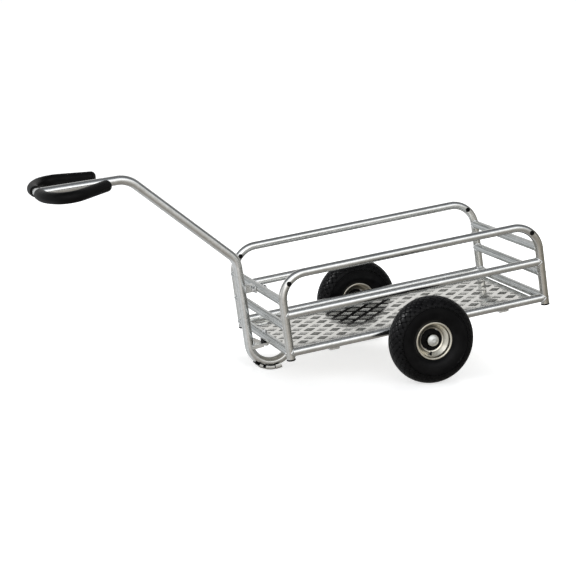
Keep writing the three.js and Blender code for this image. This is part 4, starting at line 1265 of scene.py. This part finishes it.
def hub_shape():
    """A hub in one moulding: barrel, web and eight ribs on each side, with a seat for each bearing."""
    barrel, web, bearing, bore = 17.5, 32.2, 14.1, 12
    outer, inner = 15, -38
    face = [(barrel + 0.6, 5, 2), (20, 3.6, 1.2), (29.5, 3.4, 1), (30.2, 4.0, 0.4), (web, 4.0, 0.4)]
    outline = [(barrel - 1.5, outer, 0.5), (barrel, outer - 1.2, 0.6)] + face + mirrored(face)
    outline += [(barrel, inner + 1.2, 0.6), (barrel - 1.5, inner, 0.5), (bearing, inner, 0.3), (bearing, -22)]
    outline += [(bore, -22), (bore, -1), (bearing, -1), (bearing, outer, 0.3)]
    hub = turned(fillet(outline, steps=3), 96, closed=True)
    root, tip = barrel - 1, 30.5
    for i in range(8):
        turn = Matrix.Rotation(2 * math.pi * (i + 0.5) / 8, 4, "Y")
        for side in (-1, 1):
            rib = [(root, side * 2.5, 0.4), (tip, side * 2.5, 0.4), (tip, side * 4.0, 0.6)]
            rib.append((root, side * 10, 1))
            hub.merge(extruded(fillet(rib), Z * -1.1, X, Y, Z * 2.2, 0.3), turn)
    return hub


def bearing_shape(low, high):
    """A shielded ball bearing: outer race, shield rings and inner race in one turned section."""
    top = [(10.5, high, 0.4), (11.6, high, 0.2), (11.8, high - 0.5), (12.9, high - 0.5), (13.1, high, 0.2),
           (14.0, high, 0.4)]
    bottom = [(r, low + high - y, *rounding) for r, y, *rounding in top[::-1]]
    return turned(fillet(top + bottom, steps=2), 64, closed=True)


VALVE_TURN = {"near": math.radians(174), "far": math.radians(40)}
VALVE_Y, VALVE_ROOT_R = 12.0, 58.0


def valve_shape(turn):
    """The valve from the tube through the rim's wall, with a narrow neck and a ribbed cap."""
    levels = [(0, 3.1), (12, 3.1), (13.5, 2.9), (14.6, 2.1), (16, 2.1)]
    cap = levels[-1][0]

    def ribbed(size):
        return lambda angle: size + 0.22 * math.cos(14 * angle)

    levels += [(cap, 2.7), (cap + 0.4, ribbed(2.9)), (cap + 6.2, ribbed(2.8)), (cap + 7.6, 2.1)]
    levels.append((cap + 8.0, 1.1))
    outward = Vector((math.sin(turn), 0, math.cos(turn)))
    return polar(levels, 42).placed(pointing(-outward, outward * VALVE_ROOT_R + Y * VALVE_Y))


def inner_tube_shape():
    middle, half_height, half_width = 86, 28, 24
    turns = [2 * math.pi * k / 28 for k in range(28)]
    section = [(middle + half_height * math.sin(a), half_width * math.cos(a)) for a in turns]
    return turned(section, 72, closed=True)


def build_wheels():
    for name, _ in SIDES_OF_CART:
        tube_and_valve = inner_tube_shape().merge(valve_shape(VALVE_TURN[name]))
        parts = [
            ("tyre_treaded", tyre_shape(), TYRE_RUBBER, "tyre", 38),
            ("rim_pressed", rim_shape(), RIM_METAL, "rim", 60),
            ("hub_moulded", hub_shape(), BLACK_PLASTIC, "hub", 32),
            ("inner_tube_and_valve", tube_and_valve, BLACK_RUBBER, "inner_tube", 32),
            ("ball_bearing_outer", bearing_shape(-0.5, 15.0), BOLT_METAL, "bearing_outer", 32),
            ("ball_bearing_inner", bearing_shape(-38.0, -22.5), BOLT_METAL, "bearing_inner", 32),
        ]
        body, place = f"wheel_{name}", WHEEL[name]
        for piece, shape, finish, node, sharp in parts:
            make_piece(f"{piece}_{name}", shape, finish, f"{node}_{name}", body, place, sharp)


# ---------------------------------------------------------------- studio
# Degrees, metres, and millimetres for the lens.
CAMERA = {"azimuth": -17.823, "elevation": 10.696, "distance": 6.0411, "lens": 126.03}
CAMERA_AIM = Vector((0.00705, -0.01377, 0.24552))


def build_camera():
    azimuth, elevation = math.radians(CAMERA["azimuth"]), math.radians(CAMERA["elevation"])
    level = Vector((math.sin(azimuth), -math.cos(azimuth), 0))
    back = level * math.cos(elevation) + Z * math.sin(elevation)
    data = bpy.data.cameras.new("camera")
    data.lens, data.sensor_width = CAMERA["lens"], 36
    data.clip_start, data.clip_end = 0.1, 100
    camera = bpy.data.objects.new("camera", data)
    bpy.context.scene.collection.objects.link(camera)
    camera.location = CAMERA_AIM + back * CAMERA["distance"]
    camera.rotation_mode = "QUATERNION"
    camera.rotation_quaternion = (-back).to_track_quat("-Z", "Y")
    bpy.context.scene.camera = camera


# The studio's brightness round a horizontal axis, from straight ahead of the camera (0) over the top (90)
# to behind the camera (180) and along the ground (270): degrees, brightness, warmth.
STUDIO = [
    (0, 0.74, 0.2), (8, 0.80, 0.2), (33, 0.76, 0.2), (41, 0.17, -0.4), (100, 0.16, -0.8),
    (118, 0.36, -1.0), (134, 1.15, -0.5), (148, 1.90, 0.0), (168, 1.80, 0.0), (182, 1.05, 0.2),
    (198, 0.55, 0.8), (214, 0.34, 1.2), (252, 0.27, 1.5), (280, 0.26, 1.0), (330, 0.30, 0.5),
    (348, 0.55, 0.2), (360, 0.74, 0.2),
]


def build_world():
    world = bpy.data.worlds.new("studio")
    bpy.context.scene.world = world
    world.use_nodes = True
    n = Nodes(world.node_tree)
    direction = n.add("ShaderNodeTexCoord").outputs["Generated"]
    azimuth = math.radians(CAMERA["azimuth"])
    ahead = (-math.sin(azimuth), math.cos(azimuth), 0)
    right = (math.cos(azimuth), math.sin(azimuth), 0)
    sideways = n.dot(direction, right)
    height = n.add("ShaderNodeSeparateXYZ", Vector=direction).outputs[2]
    angle = n.math("ARCTAN2", height, n.dot(direction, ahead))
    share = n.math("DIVIDE", n.math("MODULO", n.math("ADD", angle, 4 * math.pi), 2 * math.pi), 2 * math.pi)
    stops = []
    for degrees, level, warmth in STUDIO:
        stops.append((degrees / 360, (level * (1 + 0.05 * warmth), level, level * (1 - 0.06 * warmth))))
    band = n.ramp(share, *stops)
    # A bright reflector stands on the left and a darker one on the right, from the ground up to eye level.
    low = n.ramp(height, (0.30, 1.0), (0.52, 0.0))
    on_left = n.ramp(n.math("MULTIPLY", sideways, -1.0), (0.10, 0.0), (0.55, 1.0), (0.88, 1.0), (0.97, 0.25))
    on_right = n.ramp(sideways, (0.25, 0.0), (0.75, 1.0))
    lit = n.mix(n.math("MULTIPLY", on_left, low), band, (0.66, 0.675, 0.685))
    dimmed = n.math("MULTIPLY", n.math("MULTIPLY", on_right, low), 0.75)
    lit = n.mix(dimmed, lit, (0.24, 0.235, 0.21))
    light = n.add("ShaderNodeBackground", Color=lit, Strength=1.0)
    backdrop = n.add("ShaderNodeBackground", Color=(1, 1, 1, 1), Strength=1.0)
    seen = n.add("ShaderNodeLightPath").outputs["Is Camera Ray"]
    mixed = n.add("ShaderNodeMixShader", Fac=seen, i1=light.outputs[0], i2=backdrop.outputs[0])
    n.add("ShaderNodeOutputWorld", Surface=mixed.outputs[0])


def build_ground():
    """A pale floor that only the camera sees, so that the metal mirrors the studio and not its plane."""
    mesh = bpy.data.meshes.new("studio_floor")
    reach = 40.0  # metres
    corners = [(-reach, -reach, 0), (reach, -reach, 0), (reach, reach, 0), (-reach, reach, 0)]
    mesh.from_pydata(corners, [], [(0, 1, 2, 3)])
    ground = bpy.data.objects.new("studio_floor", mesh)
    bpy.context.scene.collection.objects.link(ground)
    made = bpy.data.materials.new("studio_floor")
    made.use_nodes = True
    n = Nodes(made.node_tree)
    paint = n.add("ShaderNodeBsdfDiffuse", Color=(0.80, 0.80, 0.80, 1))
    glow = n.add("ShaderNodeEmission", Color=(1, 1, 1, 1), Strength=0.64)
    both = n.add("ShaderNodeAddShader", i0=paint.outputs[0], i1=glow.outputs[0])
    n.add("ShaderNodeOutputMaterial", Surface=both.outputs[0])
    mesh.materials.append(made)
    ground.visible_diffuse = False
    ground.visible_glossy = False
    ground.visible_transmission = False
    ground.visible_shadow = False


LIT_PLACE = Vector((0.1, 0, 0.15))


def soft_box(name, place, size, energy):
    """A rectangular area light that points at the cart."""
    data = bpy.data.lights.new(name, "AREA")
    data.shape, data.size, data.size_y = "RECTANGLE", size[0], size[1]
    data.energy = energy
    light = bpy.data.objects.new(name, data)
    bpy.context.scene.collection.objects.link(light)
    light.location = place
    light.rotation_mode = "QUATERNION"
    light.rotation_quaternion = (LIT_PLACE - light.location).to_track_quat("-Z", "Y")
    return light


def build_lights():
    """A wide box overhead that makes the floor's shadow, and a small one that only the black pieces see."""
    overhead = soft_box("overhead_box", (1.7, 1.5, 3.4), (3.6, 2.6), 120)
    overhead.visible_glossy = False
    sheen = soft_box("rubber_sheen_box", (-2.4, -0.1, 2.5), (1.0, 0.8), 130)
    black_parts = bpy.data.collections.new("black_parts")
    for piece in bpy.context.scene.objects:
        if piece.type == "MESH" and piece.active_material in (TYRE_RUBBER, BLACK_RUBBER, BLACK_PLASTIC):
            black_parts.objects.link(piece)
    sheen.light_linking.receiver_collection = black_parts


for build_part in (
    build_side_frames, build_cross_bars, build_caps_and_plugs, build_floor, build_bearers, build_axle,
    build_handle, build_drawbar, build_foot, build_upper_bracket, build_lower_bracket, build_tail_strap,
    build_wheels,
):
    build_part()
make_piece("weld_beads", welds, WELD_METAL, sharp=80)
for build_surroundings in (build_camera, build_world, build_ground, build_lights):
    build_surroundings()
bpy.context.scene.view_settings.view_transform = "Standard"
